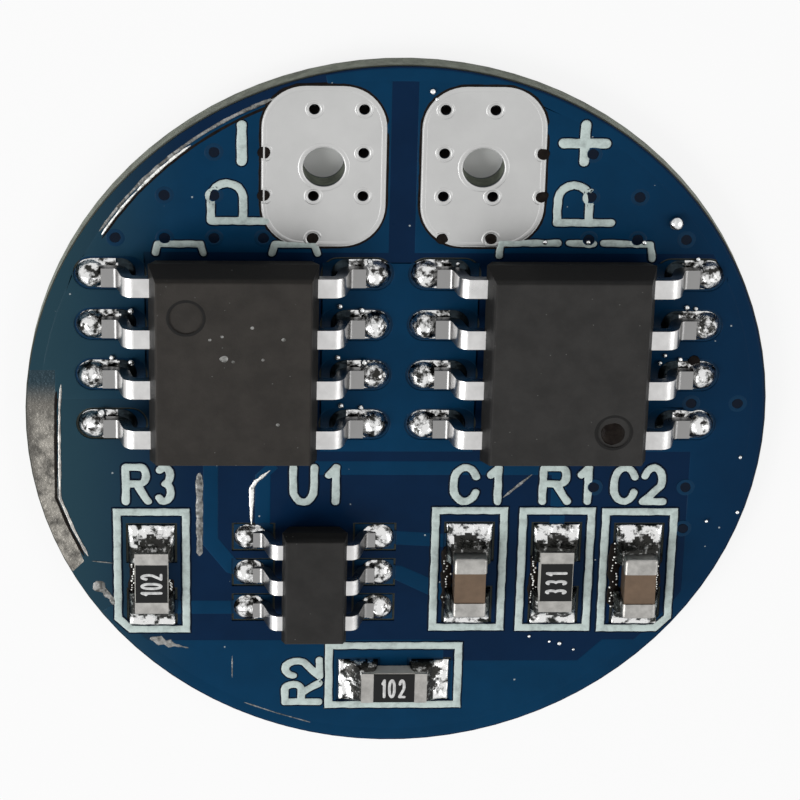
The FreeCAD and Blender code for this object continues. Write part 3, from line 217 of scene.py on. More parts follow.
def side_group():
    """A second tone that comes in along a direction."""
    tree, start, end = new_group("tone along a direction", (
        ("Tone", "NodeSocketColor", GREY),
        ("Far tone", "NodeSocketColor", GREY),
        ("Direction", "NodeSocketVector", (1.0, 0.0, 0.0)),
        ("Start", "NodeSocketFloat", 0.0),
        ("End", "NodeSocketFloat", -0.008),
    ), (("Tone", "NodeSocketColor"),))
    place = add_node(tree, "TexCoord")
    along = add_node(tree, "VectorMath", operation="DOT_PRODUCT")
    spread = add_node(tree, "MapRange", interpolation_type="SMOOTHSTEP")
    link(tree, place, "Object", along, 0)
    link(tree, start, "Direction", along, 1)
    link(tree, along, "Value", spread, "Value")
    link(tree, start, "Start", spread, "From Min")
    link(tree, start, "End", spread, "From Max")
    return mix_tones(tree, start, end, (spread, "Result"), "Far tone")


def speck_group():
    """Small pale specks of dust and flux on a surface."""
    tree, start, end = new_group("specks", (
        ("Tone", "NodeSocketColor", GREY),
        ("Speck tone", "NodeSocketColor", GREY),
        ("Specks per metre", "NodeSocketFloat", 2500.0),
        ("Speck size", "NodeSocketFloat", 0.1),
    ), (("Tone", "NodeSocketColor"),))
    place = add_node(tree, "TexCoord")
    cells = add_node(tree, "TexVoronoi")
    inside = add_node(tree, "Math", operation="LESS_THAN")
    link(tree, place, "Object", cells, "Vector")
    link(tree, start, "Specks per metre", cells, "Scale")
    link(tree, cells, "Distance", inside, 0)
    link(tree, start, "Speck size", inside, 1)
    return mix_tones(tree, start, end, (inside, "Value"), "Speck tone")


def gloss_group():
    """Roughness that changes in patches."""
    tree, start, end = new_group("uneven gloss", (
        ("Roughness", "NodeSocketFloat", 0.5),
        ("Change", "NodeSocketFloat", 0.1),
        ("Patches per metre", "NodeSocketFloat", 1500.0),
    ), (("Roughness", "NodeSocketFloat"),))
    texture = noise_node(tree, 3.0)
    centred = add_node(tree, "Math", operation="SUBTRACT")
    centred.inputs[1].default_value = 0.5
    scaled = add_node(tree, "Math", operation="MULTIPLY_ADD")
    link(tree, start, "Patches per metre", texture, "Scale")
    link(tree, texture, "Fac", centred, 0)
    link(tree, centred, "Value", scaled, 0)
    link(tree, start, "Change", scaled, 1)
    link(tree, start, "Roughness", scaled, 2)
    link(tree, scaled, "Value", end, "Roughness")
    return tree


def grain_group():
    """Height of a fine grain laid over soft waves."""
    tree, start, end = new_group("grain and waves", (
        ("Grains per metre", "NodeSocketFloat", 20000.0),
        ("Waves per metre", "NodeSocketFloat", 2000.0),
        ("Wave share", "NodeSocketFloat", 0.5),
    ), (("Height", "NodeSocketFloat"),))
    fine = noise_node(tree, 2.0)
    wave = noise_node(tree, 2.0)
    mix = add_node(tree, "Mix")
    link(tree, start, "Grains per metre", fine, "Scale")
    link(tree, start, "Waves per metre", wave, "Scale")
    link(tree, start, "Wave share", mix, "Factor")
    link(tree, fine, "Fac", mix, "A")
    link(tree, wave, "Fac", mix, "B")
    link(tree, mix, "Result", end, "Height")
    return tree


GROUP_MAKERS = {"cloudy": cloudy_group, "side": side_group, "speck": speck_group,
                "gloss": gloss_group, "grain": grain_group}
GROUPS = {}
MATERIALS = {}


def place_group(tree, key, **values):
    """Put a shared group in a material, with its own values."""
    node = add_node(tree, "Group", node_tree=GROUPS[key])
    for label, value in values.items():
        socket = node.inputs[label.replace("_", " ")]
        socket.default_value = (*value, 1.0) if socket.type == "RGBA" else value
    return node


def scaled_tone(colour, share):
    """A colour made lighter or darker."""
    return tuple(min(1.0, part * share) for part in colour)


ALONG_X, ALONG_Y, UPWARD = (1.0, 0.0, 0.0), (0.0, 1.0, 0.0), (0.0, 0.0, 1.0)


def finish(name, colour, second=None, patches=2000.0, edge=(0.36, 0.64), roughness=0.5,
           change=0.15, metallic=0.0, specular=0.5, grains=20000.0, waves=2500.0, share=0.5,
           depth=0.002, specks=None, shades=()):
    """A material with cloudy tones, uneven gloss and a fine surface."""
    colour = tuple(colour)
    material = bpy.data.materials.new(name)
    material.use_nodes = True
    tree = material.node_tree
    shader = tree.nodes["Principled BSDF"]
    shader.inputs["Metallic"].default_value = metallic
    shader.inputs["Specular IOR Level"].default_value = specular
    second = tuple(second) if second else scaled_tone(colour, 0.86)
    tone = place_group(tree, "cloudy", Tone=colour, Second_tone=second,
                       Patches_per_metre=patches, Start=edge[0], End=edge[1])
    for far, direction, first, last in shades:
        shade = place_group(tree, "side", Far_tone=tuple(far), Direction=direction,
                            Start=first * MM, End=last * MM)
        link(tree, tone, "Tone", shade, "Tone")
        tone = shade
    if specks:
        speck, count, size = specks
        dust = place_group(tree, "speck", Speck_tone=speck, Specks_per_metre=count,
                           Speck_size=size)
        link(tree, tone, "Tone", dust, "Tone")
        tone = dust
    link(tree, tone, "Tone", shader, "Base Color")
    gloss = place_group(tree, "gloss", Roughness=roughness, Change=change)
    link(tree, gloss, "Roughness", shader, "Roughness")
    grain = place_group(tree, "grain", Grains_per_metre=grains, Waves_per_metre=waves,
                        Wave_share=share)
    bump = add_node(tree, "Bump")
    bump.inputs["Distance"].default_value = depth * MM
    link(tree, grain, "Height", bump, "Height")
    link(tree, bump, "Normal", shader, "Normal")
    MATERIALS[name] = material


def dress(material, *nodes):
    """Give model nodes a material in place of their plain one."""
    for name in nodes:
        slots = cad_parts[name].data.materials
        slots.clear()
        slots.append(MATERIALS[material])


# Mesh helpers

class Skin:
    """Points and faces that are gathered for one piece."""

    def __init__(self):
        self.points = []
        self.faces = []
        self.finishes = []

    def add(self, points, faces, finishes=None):
        """Add a patch, with the number of each face's material."""
        first = len(self.points)
        self.points.extend(points)
        self.faces.extend(tuple(first + corner for corner in face) for face in faces)
        self.finishes.extend(finishes or [0] * len(faces))

    def piece(self, name, materials, slot, replaces=(), closed=False, sharp=40.0):
        """Make the piece and let it ride on the board."""
        mesh = bpy.data.meshes.new(name)
        mesh.from_pydata([Vector(point) * MM for point in self.points], [], self.faces)
        mesh.polygons.foreach_set("material_index", self.finishes)
        shape = bmesh.new()
        shape.from_mesh(mesh)
        if closed:
            bmesh.ops.recalc_face_normals(shape, faces=shape.faces)
        else:
            shape.normal_update()
            for face in shape.faces:
                if face.normal.z < 0:
                    face.normal_flip()
        shape.to_mesh(mesh)
        shape.free()
        mesh.shade_smooth()
        mesh.set_sharp_from_angle(angle=math.radians(sharp))
        for material in materials.split(", "):
            mesh.materials.append(MATERIALS[material])
        piece = bpy.data.objects.new(name, mesh)
        bpy.context.scene.collection.objects.link(piece)
        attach(piece, "root")
        if replaces:
            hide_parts(*replaces)


def flat_outline(node, height):
    """Outline edges of a model node's faces that lie flat at a height."""
    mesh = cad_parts[node].data
    count = {}
    for polygon in mesh.polygons:
        corners = [mesh.vertices[index].co / MM for index in polygon.vertices]
        if any(abs(corner.z - height) > SAME_HEIGHT for corner in corners):
            continue
        flat = [(round(corner.x, 4), round(corner.y, 4)) for corner in corners]
        for edge in zip(flat, flat[1:] + flat[:1]):
            key = tuple(sorted(edge))
            count[key] = count.get(key, 0) + 1
    return [edge for edge, uses in count.items() if uses == 1]


def loop_edges(points):
    """The edges of a closed outline."""
    return list(zip(points, points[1:] + points[:1]))


def is_inside(points, edges):
    """Which points lie inside the outline, by counting crossings."""
    points = numpy.asarray(points, float)
    ends = numpy.asarray(edges, float)
    x1, y1, x2, y2 = ends[:, 0, 0], ends[:, 0, 1], ends[:, 1, 0], ends[:, 1, 1]
    inside = numpy.zeros(len(points), bool)
    for first in range(0, len(points), 500):
        x = points[first:first + 500, 0][:, None]
        y = points[first:first + 500, 1][:, None]
        spans = (y1 > y) != (y2 > y)
        rise = numpy.where(y2 == y1, 1.0, y2 - y1)
        crossing = x < (x2 - x1) * (y - y1) / rise + x1
        inside[first:first + 500] = (spans & crossing).sum(1) % 2 == 1
    return inside


# Waves in a millimetre and size of the unevenness of prints, beads and drops
PRINT_WAVES = 5
BEAD_WAVES = 6
LUMP_WAVES, LUMP_SWELL = 1.7, 0.12
# Share of the height at which a bead starts, and by which each step raises it
BEAD_START, BEAD_RISE, BLUNT_RISE = 0.25, 0.4, 0.9
# Height of a drop's middle, as a share of its half height
LUMP_LIFT = 0.7


def roughen(edges, amount, spacing=0.1):
    """Split the edges of an outline and shift their points a little, as a print runs."""
    def moved(x, y):
        away = noise.noise_vector(Vector((x * PRINT_WAVES, y * PRINT_WAVES, 0.0)))
        return round(x + amount * away.x, 4), round(y + amount * away.y, 4)

    result = []
    for start, end in edges:
        count = max(1, round(math.dist(start, end) / spacing))
        steps = [moved(start[0] + (end[0] - start[0]) * i / count,
                       start[1] + (end[1] - start[1]) * i / count) for i in range(count + 1)]
        result.extend(zip(steps, steps[1:]))
    return result


# How far in each height of a sheet's edge lies, and its share of the sheet's height
STEP_PROFILE = ((0.03, 1.0), (0.012, 0.75), (0.0, 0.0))
INK_PROFILE = ((0.065, 1.0), (0.035, 0.85), (0.012, 0.5), (0.0, 0.0))
VALUE_PROFILE = ((0.012, 1.0), (0.0, 0.0))
SHADE_PROFILE = ((-0.025, 1.0), (-0.035, 0.0))


def triangulate(outlines, rule):
    """Points and triangles of the area that the rule keeps, and the edges round it."""
    index = {}
    for edges in outlines:
        for edge in edges:
            for point in edge:
                index.setdefault(point, len(index))
    constraints = [(index[a], index[b]) for edges in outlines for a, b in edges if a != b]
    corners, _, triangles, *_ = delaunay_2d_cdt(
        [Vector(point) for point in index], constraints, [], 0, 1e-5, False)
    middles = [sum((corners[i] for i in face), Vector((0, 0))) / len(face) for face in triangles]
    kept = rule([is_inside([(m.x, m.y) for m in middles], edges) for edges in outlines])
    triangles = [face for face, keep in zip(triangles, kept) if keep]
    uses = {}
    for face in triangles:
        for a, b in zip(face, face[1:] + face[:1]):
            if (b, a) in uses:
                del uses[(b, a)]
            else:
                uses[(a, b)] = True
    return corners, triangles, list(uses)


def sheet(outlines, rule, low, high, profile):
    """A raised sheet: its profile gives how far each height is drawn in, from the top down."""
    corners, _, uses = triangulate(outlines, rule)
    border = [((corners[a].x, corners[a].y), (corners[b].x, corners[b].y)) for a, b in uses]
    corners, triangles, uses = triangulate([border], any_of)
    normals = {}
    for a, b in uses:
        along = (corners[b] - corners[a]).normalized()
        normal = Vector((-along.y, along.x))
        for corner in (a, b):
            normals.setdefault(corner, []).append(normal)
    inward = {corner: sum(group, Vector((0, 0))).normalized() for corner, group in normals.items()}
    still = Vector((0, 0))
    points = []
    for inset, share in profile:
        height = low + (high - low) * share
        for number, corner in enumerate(corners):
            shift = inward.get(number, still) * inset
            points.append((corner.x + shift.x, corner.y + shift.y, height))
    faces = [tuple(face) for face in triangles]
    for ring_number in range(len(profile) - 1):
        upper, lower = ring_number * len(corners), (ring_number + 1) * len(corners)
        faces.extend((upper + a, upper + b, lower + b, lower + a) for a, b in uses)
    return trim(points, faces)


def trim(points, faces):
    """Leave out the points that no face has."""
    used = sorted({corner for face in faces for corner in face})
    renamed = {old: new for new, old in enumerate(used)}
    return [points[old] for old in used], [tuple(renamed[c] for c in face) for face in faces]


def capsule(start, end, width, steps=7):
    """Outline of a stroke with round ends."""
    start, end = Vector(start), Vector(end)
    turn = math.atan2(end.y - start.y, end.x - start.x)
    points = []
    for centre, first in ((end, turn - math.pi / 2), (start, turn + math.pi / 2)):
        for step in range(steps + 1):
            angle = first + math.pi * step / steps
            points.append((round(centre.x + width / 2 * math.cos(angle), 5),
                           round(centre.y + width / 2 * math.sin(angle), 5)))
    return loop_edges(points)


def any_of(inside):
    """The union of all outlines."""
    return numpy.any(inside, axis=0)


def arc(centre, radius, first, last, steps=8):
    """Points along an arc, with angles in degrees."""
    return [(centre[0] + radius * math.cos(math.radians(first + (last - first) * i / steps)),
             centre[1] + radius * math.sin(math.radians(first + (last - first) * i / steps)))
            for i in range(steps + 1)]


def bead(path, half_width, height, base, closed=False, ragged=0.0, steps=6, blunt=False):
    """A low rounded bead of metal or ink along a path."""
    count = len(path)
    points = []
    faces = []
    for number, here in enumerate(path):
        before = path[number - 1] if closed or number else here
        after = path[(number + 1) % count] if closed or number < count - 1 else here
        along = Vector((after[0] - before[0], after[1] - before[1])).normalized()
        across = Vector((-along.y, along.x))
        wobble = 1 + ragged * noise.noise(
            Vector((here[0] * BEAD_WAVES, here[1] * BEAD_WAVES, base)))
        end_share = 1.0
        if not closed:
            rise = BLUNT_RISE if blunt else BEAD_RISE
            end_share = min(1.0, BEAD_START + min(number, count - 1 - number) * rise)
        width = half_width * wobble * end_share
        for step in range(steps + 1):
            angle = math.pi * step / steps
            side = width * math.cos(angle)
            points.append((here[0] + across.x * side, here[1] + across.y * side,
                           base + height * end_share * math.sin(angle)))
    rows = count if closed else count - 1
    for row in range(rows):
        first = row * (steps + 1)
        second = ((row + 1) % count) * (steps + 1)
        for step in range(steps):
            faces.append((first + step, first + step + 1, second + step + 1, second + step))
    return points, faces


def along_path(corners, spacing=0.12):
    """Points at even spacing along straight runs."""
    points = []
    for start, end in zip(corners, corners[1:]):
        length = math.dist(start, end)
        count = max(1, round(length / spacing))
        points.extend((start[0] + (end[0] - start[0]) * i / count,
                       start[1] + (end[1] - start[1]) * i / count) for i in range(count))
    return points + [corners[-1]]


def rounded_rectangle(centre, width, length, corner):
    """Points round a rectangle with round corners."""
    points = []
    for side_x, side_y, first in ((1, 1, 0), (-1, 1, 90), (-1, -1, 180), (1, -1, 270)):
        middle = (centre[0] + side_x * (width / 2 - corner),
                  centre[1] + side_y * (length / 2 - corner))
        points.extend(arc(middle, corner, first, first + 90))
    return points


def ring(centre, radius, count=28):
    """Points round a circle."""
    return arc(centre, radius, 0, 360 * (count - 1) / count, count - 1)


def lump(centre, size, squash, seed, reach=1.0):
    """A small uneven drop of metal that rests on a surface."""
    shape = bmesh.new()
    bmesh.ops.create_icosphere(shape, subdivisions=2, radius=1.0)
    points = []
    for vertex in shape.verts:
        swell = LUMP_SWELL * noise.noise(vertex.co * LUMP_WAVES + Vector((seed, 0, 0)))
        away = vertex.co * (1 + swell)
        points.append((centre[0] + away.x * size * reach, centre[1] + away.y * size,
                       centre[2] + (away.z * squash + squash * LUMP_LIFT) * size))
    faces = [tuple(vertex.index for vertex in face.verts) for face in shape.faces]
    shape.free()
    return points, faces


def patch(span, width_at, height_at, place, rows=36, columns=24):
    """A skin over a land: rows along it, columns across it."""
    points = []
    for row in range(rows + 1):
        along = -span * math.cos(math.pi * row / rows)
        half = width_at(along)
        for column in range(columns + 1):
            across = -half * math.cos(math.pi * column / columns)
            points.append(place(along, across, height_at(along, across)))
    wide = columns + 1
    faces = [(row * wide + column, row * wide + column + 1,
              (row + 1) * wide + column + 1, (row + 1) * wide + column)
             for row in range(rows) for column in range(columns)]
    return points, faces


def smooth_highest(*heights, soft=0.03):
    """The highest of some heights, with the creases between them filled."""
    top = max(heights)
    return top + soft * math.log(sum(math.exp((height - top) / soft) for height in heights)) - (
        soft * math.log(len(heights)))


def dome(along, across, centre, reach, half, height):
    """Height of an oval dome."""
    inside = 1 - ((along - centre) / reach) ** 2 - (across / half) ** 2
    return height * math.sqrt(inside) if inside > 0 else 0.0


# The bare board

TERMINALS = ("terminal_minus", "terminal_plus")
TERMINAL_CORNER = 1.0
WIRE_HOLE_RIM = 0.54
EDGE_BAND = (-0.37, -0.06)
EDGE_BAND_ANGLES = (-144.0, 102.0)
# Most that points of one via lie apart, in radii
VIA_SPREAD = 2.2
VIA_RIM, COVERED_RIM = 0.035, 0.045
# Places inside a terminal's outline: clear of it, and just on it
CLEAR_INSIDE, JUST_INSIDE = -0.3, -0.04


def terminal_outline(terminal, margin):
    """Points round a terminal, with a margin outside it."""
    low, high = low_and_high(terminal)
    return rounded_rectangle(middle_of(terminal), high.x - low.x + 2 * margin,
                             high.y - low.y + 2 * margin, TERMINAL_CORNER + margin)


def via_places():
    """Centres of the open and of the covered vias, read from the model."""
    centres = []
    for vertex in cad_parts["via_barrels"].data.vertices:
        here = Vector((vertex.co.x, vertex.co.y)) / MM
        near = [group for group in centres if (group[0] - here).length < VIA_SPREAD * VIA_RADIUS]
        if near:
            near[0].append(here)
        else:
            centres.append([here])
    middles = []
    for group in centres:
        xs = [point.x for point in group]
        ys = [point.y for point in group]
        middles.append(((min(xs) + max(xs)) / 2, (min(ys) + max(ys)) / 2))
    covered = is_inside(middles, flat_outline("mask_top", MASK_TOP))
    opened = [place for place, cover in zip(middles, covered) if not cover]
    closed = [place for place, cover in zip(middles, covered) if cover]
    return opened, closed


def edge_band():
    """Outline of the mask's thicker band at the edge, all round but for the left."""
    inner, outer = (BOARD_RADIUS + margin for margin in EDGE_BAND)
    first, last = EDGE_BAND_ANGLES
    return loop_edges(arc((0, 0), outer, first, last, 90) + arc((0, 0), inner, last, first, 90))


def build_raised_mask():
    """The mask stands a little higher where it runs over copper."""
    outlines = [flat_outline("foil_top", LAND_TOP), flat_outline("mask_top", MASK_TOP)]
    skin = Skin()
    skin.add(*sheet(outlines, lambda inside: inside[0] & inside[1],
                    MASK_TOP, MASK_TOP + RELIEF, STEP_PROFILE))
    skin.add(*sheet([edge_band()], any_of, MASK_TOP, MASK_TOP + 0.9 * RELIEF, STEP_PROFILE))
    skin.piece("mask_over_copper", "mask on copper", "mask", sharp=60.0)


def is_on_terminal(place, margin):
    """Whether a place lies on one of the terminals."""
    return any(is_inside([place], loop_edges(terminal_outline(terminal, margin)))[0]
               for terminal in TERMINALS)


def build_open_vias(opened):
    """Rims of the open vias, and flux in those at a terminal's edge."""
    rims = Skin()
    flux = Skin()
    for place in opened:
        inner = is_on_terminal(place, CLEAR_INSIDE)
        path = [point for point in ring(place, VIA_RADIUS + VIA_RIM, 20)
                if inner or is_on_terminal(point, JUST_INSIDE)]
        if len(path) > 3:
            rims.add(*bead(path, VIA_RIM, 0.012, TERMINAL_TOP - 0.004, closed=inner, ragged=0.4))
        if not inner:
            flux.add(*sheet([roughen(loop_edges(ring(place, VIA_RADIUS, 16)), 0.03)], any_of,
                            MASK_TOP, TERMINAL_TOP + 0.006, VALUE_PROFILE))
    rims.piece("via_rims", "tin", "tin")
    flux.piece("via_flux", "dark flux", "bare_tin")


def build_covered_vias(covered):
    """Rims of the vias under the mask, and dark dots for their sunken middles: darker mask over
    the hole with painted shade of the dimple.
    """
    bumps = Skin()
    dots = Skin()
    for place in covered:
        bumps.add(*bead(ring(place, VIA_RADIUS + 0.02, 24), COVERED_RIM, 0.004,
                        MASK_TOP + RELIEF, closed=True, ragged=0.3))
        dots.add(*sheet([covered_dot(place)], any_of, MASK_TOP, MASK_TOP + RELIEF + 0.003,
                        VALUE_PROFILE))
    bumps.piece("covered_via_rims", "mask on via", "mask")
    dots.piece("covered_via_dots", "dark mask", "mask")


def covered_dot(place):
    """Outline of the sunken mask over a via."""
    return roughen(loop_edges(ring(place, VIA_RADIUS - 0.015, 16)), 0.02)


def build_terminal_edges():
    """Grey line round each terminal, its rolled edge and the rim of its wire hole."""
    lines = Skin()
    edges = Skin()
    for terminal in TERMINALS:
        outline = terminal_outline(terminal, 0.03)
        lines.add(*bead(along_path(outline + outline[:1], 0.1), 0.04, 0.014, MASK_TOP,
                        ragged=0.6))
        edges.add(*bead(terminal_outline(terminal, -0.07), 0.05, 0.005, TERMINAL_TOP - 0.001,
                        closed=True, ragged=0.3))
        hole = ring(middle_of(terminal), WIRE_HOLE_RIM, 40)
        edges.add(*bead(hole, 0.05, 0.008, TERMINAL_TOP - 0.001, closed=True, ragged=0.2))
    lines.piece("terminal_outlines", "dark flux", "bare_tin")
    edges.piece("terminal_edges", "tin", "tin")


# Lettering

# Strokes of each character, in widths and heights of a letter
CHARACTERS = {
    "R": (((0, 0), (0, 1)), ((0, 1), (0.6, 1)), arc((0.6, 0.76), 0.24, 90, -90),
          ((0.6, 0.52), (0, 0.52)), ((0.45, 0.52), (0.9, 0))),
    "U": (((0, 1), (0, 0.38)), arc((0.4, 0.38), 0.4, 180, 360), ((0.8, 0.38), (0.8, 1))),
    "C": (arc((0.45, 0.58), 0.42, 20, 180), ((0.03, 0.58), (0.03, 0.42)),
          arc((0.45, 0.42), 0.42, 180, 340)),
    "P": (((0, 0), (0, 1)), ((0, 1), (0.5, 1)), arc((0.5, 0.71), 0.29, 90, -90),
          ((0.5, 0.42), (0, 0.42))),
    "0": (arc((0.4, 0.6), 0.4, 0, 180), ((0, 0.6), (0, 0.4)), arc((0.4, 0.4), 0.4, 180, 360),
          ((0.8, 0.4), (0.8, 0.6))),
    "1": (((0.15, 0.78), (0.42, 1)), ((0.42, 1), (0.42, 0))),
    "2": (arc((0.38, 0.64), 0.36, 160, -30), ((0.69, 0.46), (0, 0)), ((0, 0), (0.8, 0))),
    "3": (arc((0.36, 0.76), 0.24, 140, -80), arc((0.36, 0.26), 0.26, 85, -145)),
}
WIDE = 0.9
WIDTHS = {"1": 0.5}


def text_strokes(text, corner, size, turned, gap=0.32):
    """Strokes of a text whose lower left corner and letter size are given."""
    strokes = []
    pen = 0.0
    width, height = size
    for letter in text:
        for line in CHARACTERS[letter]:
            for start, end in zip(line, line[1:]):
                ends = []
                for x, y in (start, end):
                    along, up = pen + x * width, y * height
                    ends.append((corner[0] - up, corner[1] + along) if turned
                                else (corner[0] + along, corner[1] + up))
                strokes.append(ends)
        pen += (WIDTHS.get(letter, WIDE) + gap) * width
    return strokes


BOARD_TEXTS = (
    # text, lower left corner of the middle line, letter width and height, turned
    ("R3", (-6.41, -2.15), (0.58, 0.9), False),
    ("U1", (-2.44, -2.15), (0.62, 0.9), False),
    ("C1", (1.36, -2.15), (0.66, 0.9), False),
    ("R1", (3.52, -2.15), (0.66, 0.9), False),
    ("C2", (5.2, -2.15), (0.6, 0.9), False),
    ("R2", (-1.75, -7.62), (0.58, 0.84), True),
    ("P", (-3.12, 4.99), (1.16, 1.26), True),
    ("P", (4.81, 4.98), (1.16, 1.26), True),
)
SIGNS = (((-3.685, 6.44), (-3.685, 7.3)),
         ((4.11, 6.47), (4.11, 7.35)), ((3.62, 6.91), (4.6, 6.91)))
BRACKETS = (
    ((-5.66, 4.2), (-5.6, 4.42), (-4.62, 4.42), (-4.56, 4.2)),
    ((-2.98, 4.2), (-2.92, 4.42), (-2.0, 4.42), (-1.94, 4.2)),
    ((2.25, 4.16), (2.28, 4.47), (3.6, 4.48)),
    ((3.86, 4.48), (4.42, 4.46)),
    ((4.66, 4.48), (5.74, 4.45), (5.8, 4.1)),
)
# Frames of the legend lie in front of this place, and its brackets behind it
BRACKET_START = 3.0
SIGN_STROKE, BRACKET_STROKE = 0.24, 0.18
INK_RISE = 0.008


def letter_outlines():
    """Outlines of the letters, the signs and the brackets, as the ink has run."""
    stroke = bpy.context.scene.board_finish.stroke / MM
    outlines = []
    for text, corner, size, turned in BOARD_TEXTS:
        outlines.extend(capsule(a, b, stroke) for a, b in text_strokes(text, corner, size, turned))
    outlines.extend(capsule(start, end, SIGN_STROKE) for start, end in SIGNS)
    for line in BRACKETS:
        outlines.extend(capsule(a, b, BRACKET_STROKE) for a, b in zip(line, line[1:]))
    return [roughen(edges, 0.018) for edges in outlines]


def build_lettering():
    """Letters, signs, frames and brackets, each with a painted shadow round it on the mask."""
    _, covered = via_places()
    dots = [covered_dot(place) for place in covered]
    letters = letter_outlines()
    frames = [edge for edge in flat_outline("legend", INK_TOP) if edge[0][1] < BRACKET_START]
    frames = [roughen(frames, 0.015)]

    def printed(inside):
        return any_of(inside[:-len(dots)]) & ~any_of(inside[-len(dots):])

    def print_ink(name, outlines, rule, **more):
        skin = Skin()
        skin.add(*sheet(outlines, rule, MASK_TOP, INK_TOP + INK_RISE, INK_PROFILE))
        skin.piece(name, "ink", "ink", sharp=70.0, **more)

    print_ink("lettering", letters + dots, printed)
    print_ink("printed_frames", frames, any_of, replaces=("legend",))
    shade_top = MASK_TOP + RELIEF + 0.001
    skin = Skin()
    skin.add(*sheet(letters + dots, printed, MASK_TOP, shade_top, SHADE_PROFILE))
    skin.add(*sheet(frames, any_of, MASK_TOP, shade_top, SHADE_PROFILE))
    skin.piece("ink_edges", "ink edge", "mask", sharp=70.0)


# Bare metal lines of the board

STRIP_RIDGE = ((-7.88, 0.92), (-7.93, 0.3), (-7.95, -0.5), (-7.97, -2.06), (-7.66, -2.9),
               (-7.33, -3.61))
DULL_TRACK = ((-4.665, -1.4), (-4.665, -3.6))
BRIGHT_TRACK = ((-2.99, -1.33), (-3.32, -1.62), (-3.425, -1.8), (-3.425, -2.75))
SHORT_TRACK = ((2.58, -2.04), (3.28, -1.4))
BARE_SPOTS = (((-7.18, -4.31), (-6.88, -4.66), (-6.59, -4.94)),
              ((-5.87, -5.84), (-5.4, -6.0), (-4.9, -6.12)))
MASK_SCRATCHES = (((-3.59, -7.63), (-2.8, -7.93), (-1.96, -8.2)), ((-3.88, -6.34), (-3.88, -6.93)),
                  ((-6.99, -4.39), (-6.75, -4.74)), ((-7.24, -3.74), (-6.69, -3.8)))
ARC_STEPS, ARC_START, ARC_TURN = 44, 146.5, -38.0
BRIGHT_STEPS = 26


def upper_left_arc(radius, end_radius):
    """Arc beside the upper left edge, where the mask has drawn back."""
    points = []
    for step in range(ARC_STEPS + 1):
        share = step / ARC_STEPS
        angle = math.radians(ARC_START + ARC_TURN * share)
        here = radius + (end_radius - radius) * share
        points.append((here * math.cos(angle), here * math.sin(angle)))
    return points


ON_TRACK = RELIEF / 2
BARE_LINES = (
    # piece, path, half width, height, lift over the mask, raggedness, blunt ends
    ("bare_lines", upper_left_arc(8.29, 8.4)[:BRIGHT_STEPS], 0.036, 0.022, 0.0, 0.6, False),
    ("bare_lines", along_path(BRIGHT_TRACK, 0.09), 0.05, 0.02, ON_TRACK, 0.9, False),
    ("strip_ridge", along_path(STRIP_RIDGE, 0.08), 0.035, 0.025, 0.0, 0.45, False),
    ("dull_lines", upper_left_arc(8.37, 8.47), 0.04, 0.015, 0.0, 0.5, False),
    ("dull_lines", along_path(DULL_TRACK, 0.08), 0.08, 0.018, ON_TRACK, 0.4, True),
    ("dull_lines", along_path(SHORT_TRACK, 0.08), 0.03, 0.01, ON_TRACK, 0.8, False),
    *(("dull_lines", along_path(line, 0.06), 0.09, 0.02, 0.0, 1.6, False) for line in BARE_SPOTS),
    *(("dull_lines", along_path(line, 0.08), 0.015, 0.005, RELIEF, 0.6, False)
      for line in MASK_SCRATCHES),
    # Painted shade: dark lines on the shaded side of the strip's ridge and inside the bright arc
    ("dark_gaps", along_path([(x - 0.09, y) for x, y in STRIP_RIDGE]), 0.035, 0.012, 0.0, 0.4,
     False),
    ("dark_gaps", upper_left_arc(8.24, 8.34), 0.03, 0.008, RELIEF, 0.4, False),
)
LINE_FINISHES = (("bare_lines", "bare metal"), ("strip_ridge", "ridge metal"),
                 ("dull_lines", "dull metal"), ("dark_gaps", "dark flux"))


def build_bare_lines():
    """Bare metal at the edge of the foil, along the tracks and beside the strip, with lines of
    painted shade beside the strip's ridge and inside the arc.
    """
    for piece, material in LINE_FINISHES:
        skin = Skin()
        for name, path, half_width, height, lift, ragged, blunt in BARE_LINES:
            if name == piece:
                skin.add(*bead(path, half_width, height, MASK_TOP + lift, ragged=ragged,
                               blunt=blunt))
        skin.piece(piece, material, "bare_tin")


class BOARD_OT_bare_board(bpy.types.Operator):
    """Give the board its materials and the marks of its mask, vias and terminals"""
    bl_idname = "board.bare_board"
    bl_label = "Bare board"

    def execute(self, context):
        dress("laminate", "laminate")
        dress("copper", "via_barrels")
        dress("mask on via", "foil_top", "foil_underside")
        dress("tin", "terminal_minus", "terminal_plus", "cell_pad")
        dress("bare strip", "edge_strip")
        dress("mask", "mask_top", "mask_underside")
        build_raised_mask()
        opened, covered = via_places()
        build_open_vias(opened)
        build_covered_vias(covered)
        build_terminal_edges()
        return {"FINISHED"}


class BOARD_OT_lettering(bpy.types.Operator):
    """Print the reference letters and the signs of the terminals"""
    bl_idname = "board.lettering"
    bl_label = "Lettering"

    def execute(self, context):
        build_lettering()
        return {"FINISHED"}


class BOARD_OT_bare_lines(bpy.types.Operator):
    """Lay the lines of bare metal along the edge and the tracks"""
    bl_idname = "board.bare_lines"
    bl_label = "Bare lines"

    def execute(self, context):
        build_bare_lines()
        return {"FINISHED"}


# Packages and their solder

SWITCHES = (
    # name, side of its dimple, number of its first joint
    ("left_switch", 1, 10),
    ("right_switch", -1, 20),
)
# Inner and outer end of a land from the middle of its package, and half its width
SWITCH_PITCH, SWITCH_LAND = 1.27, (2.25, 3.64, 0.36)
CONTROL_PITCH, CONTROL_LAND = 0.95, (1.12, 1.92, 0.33)
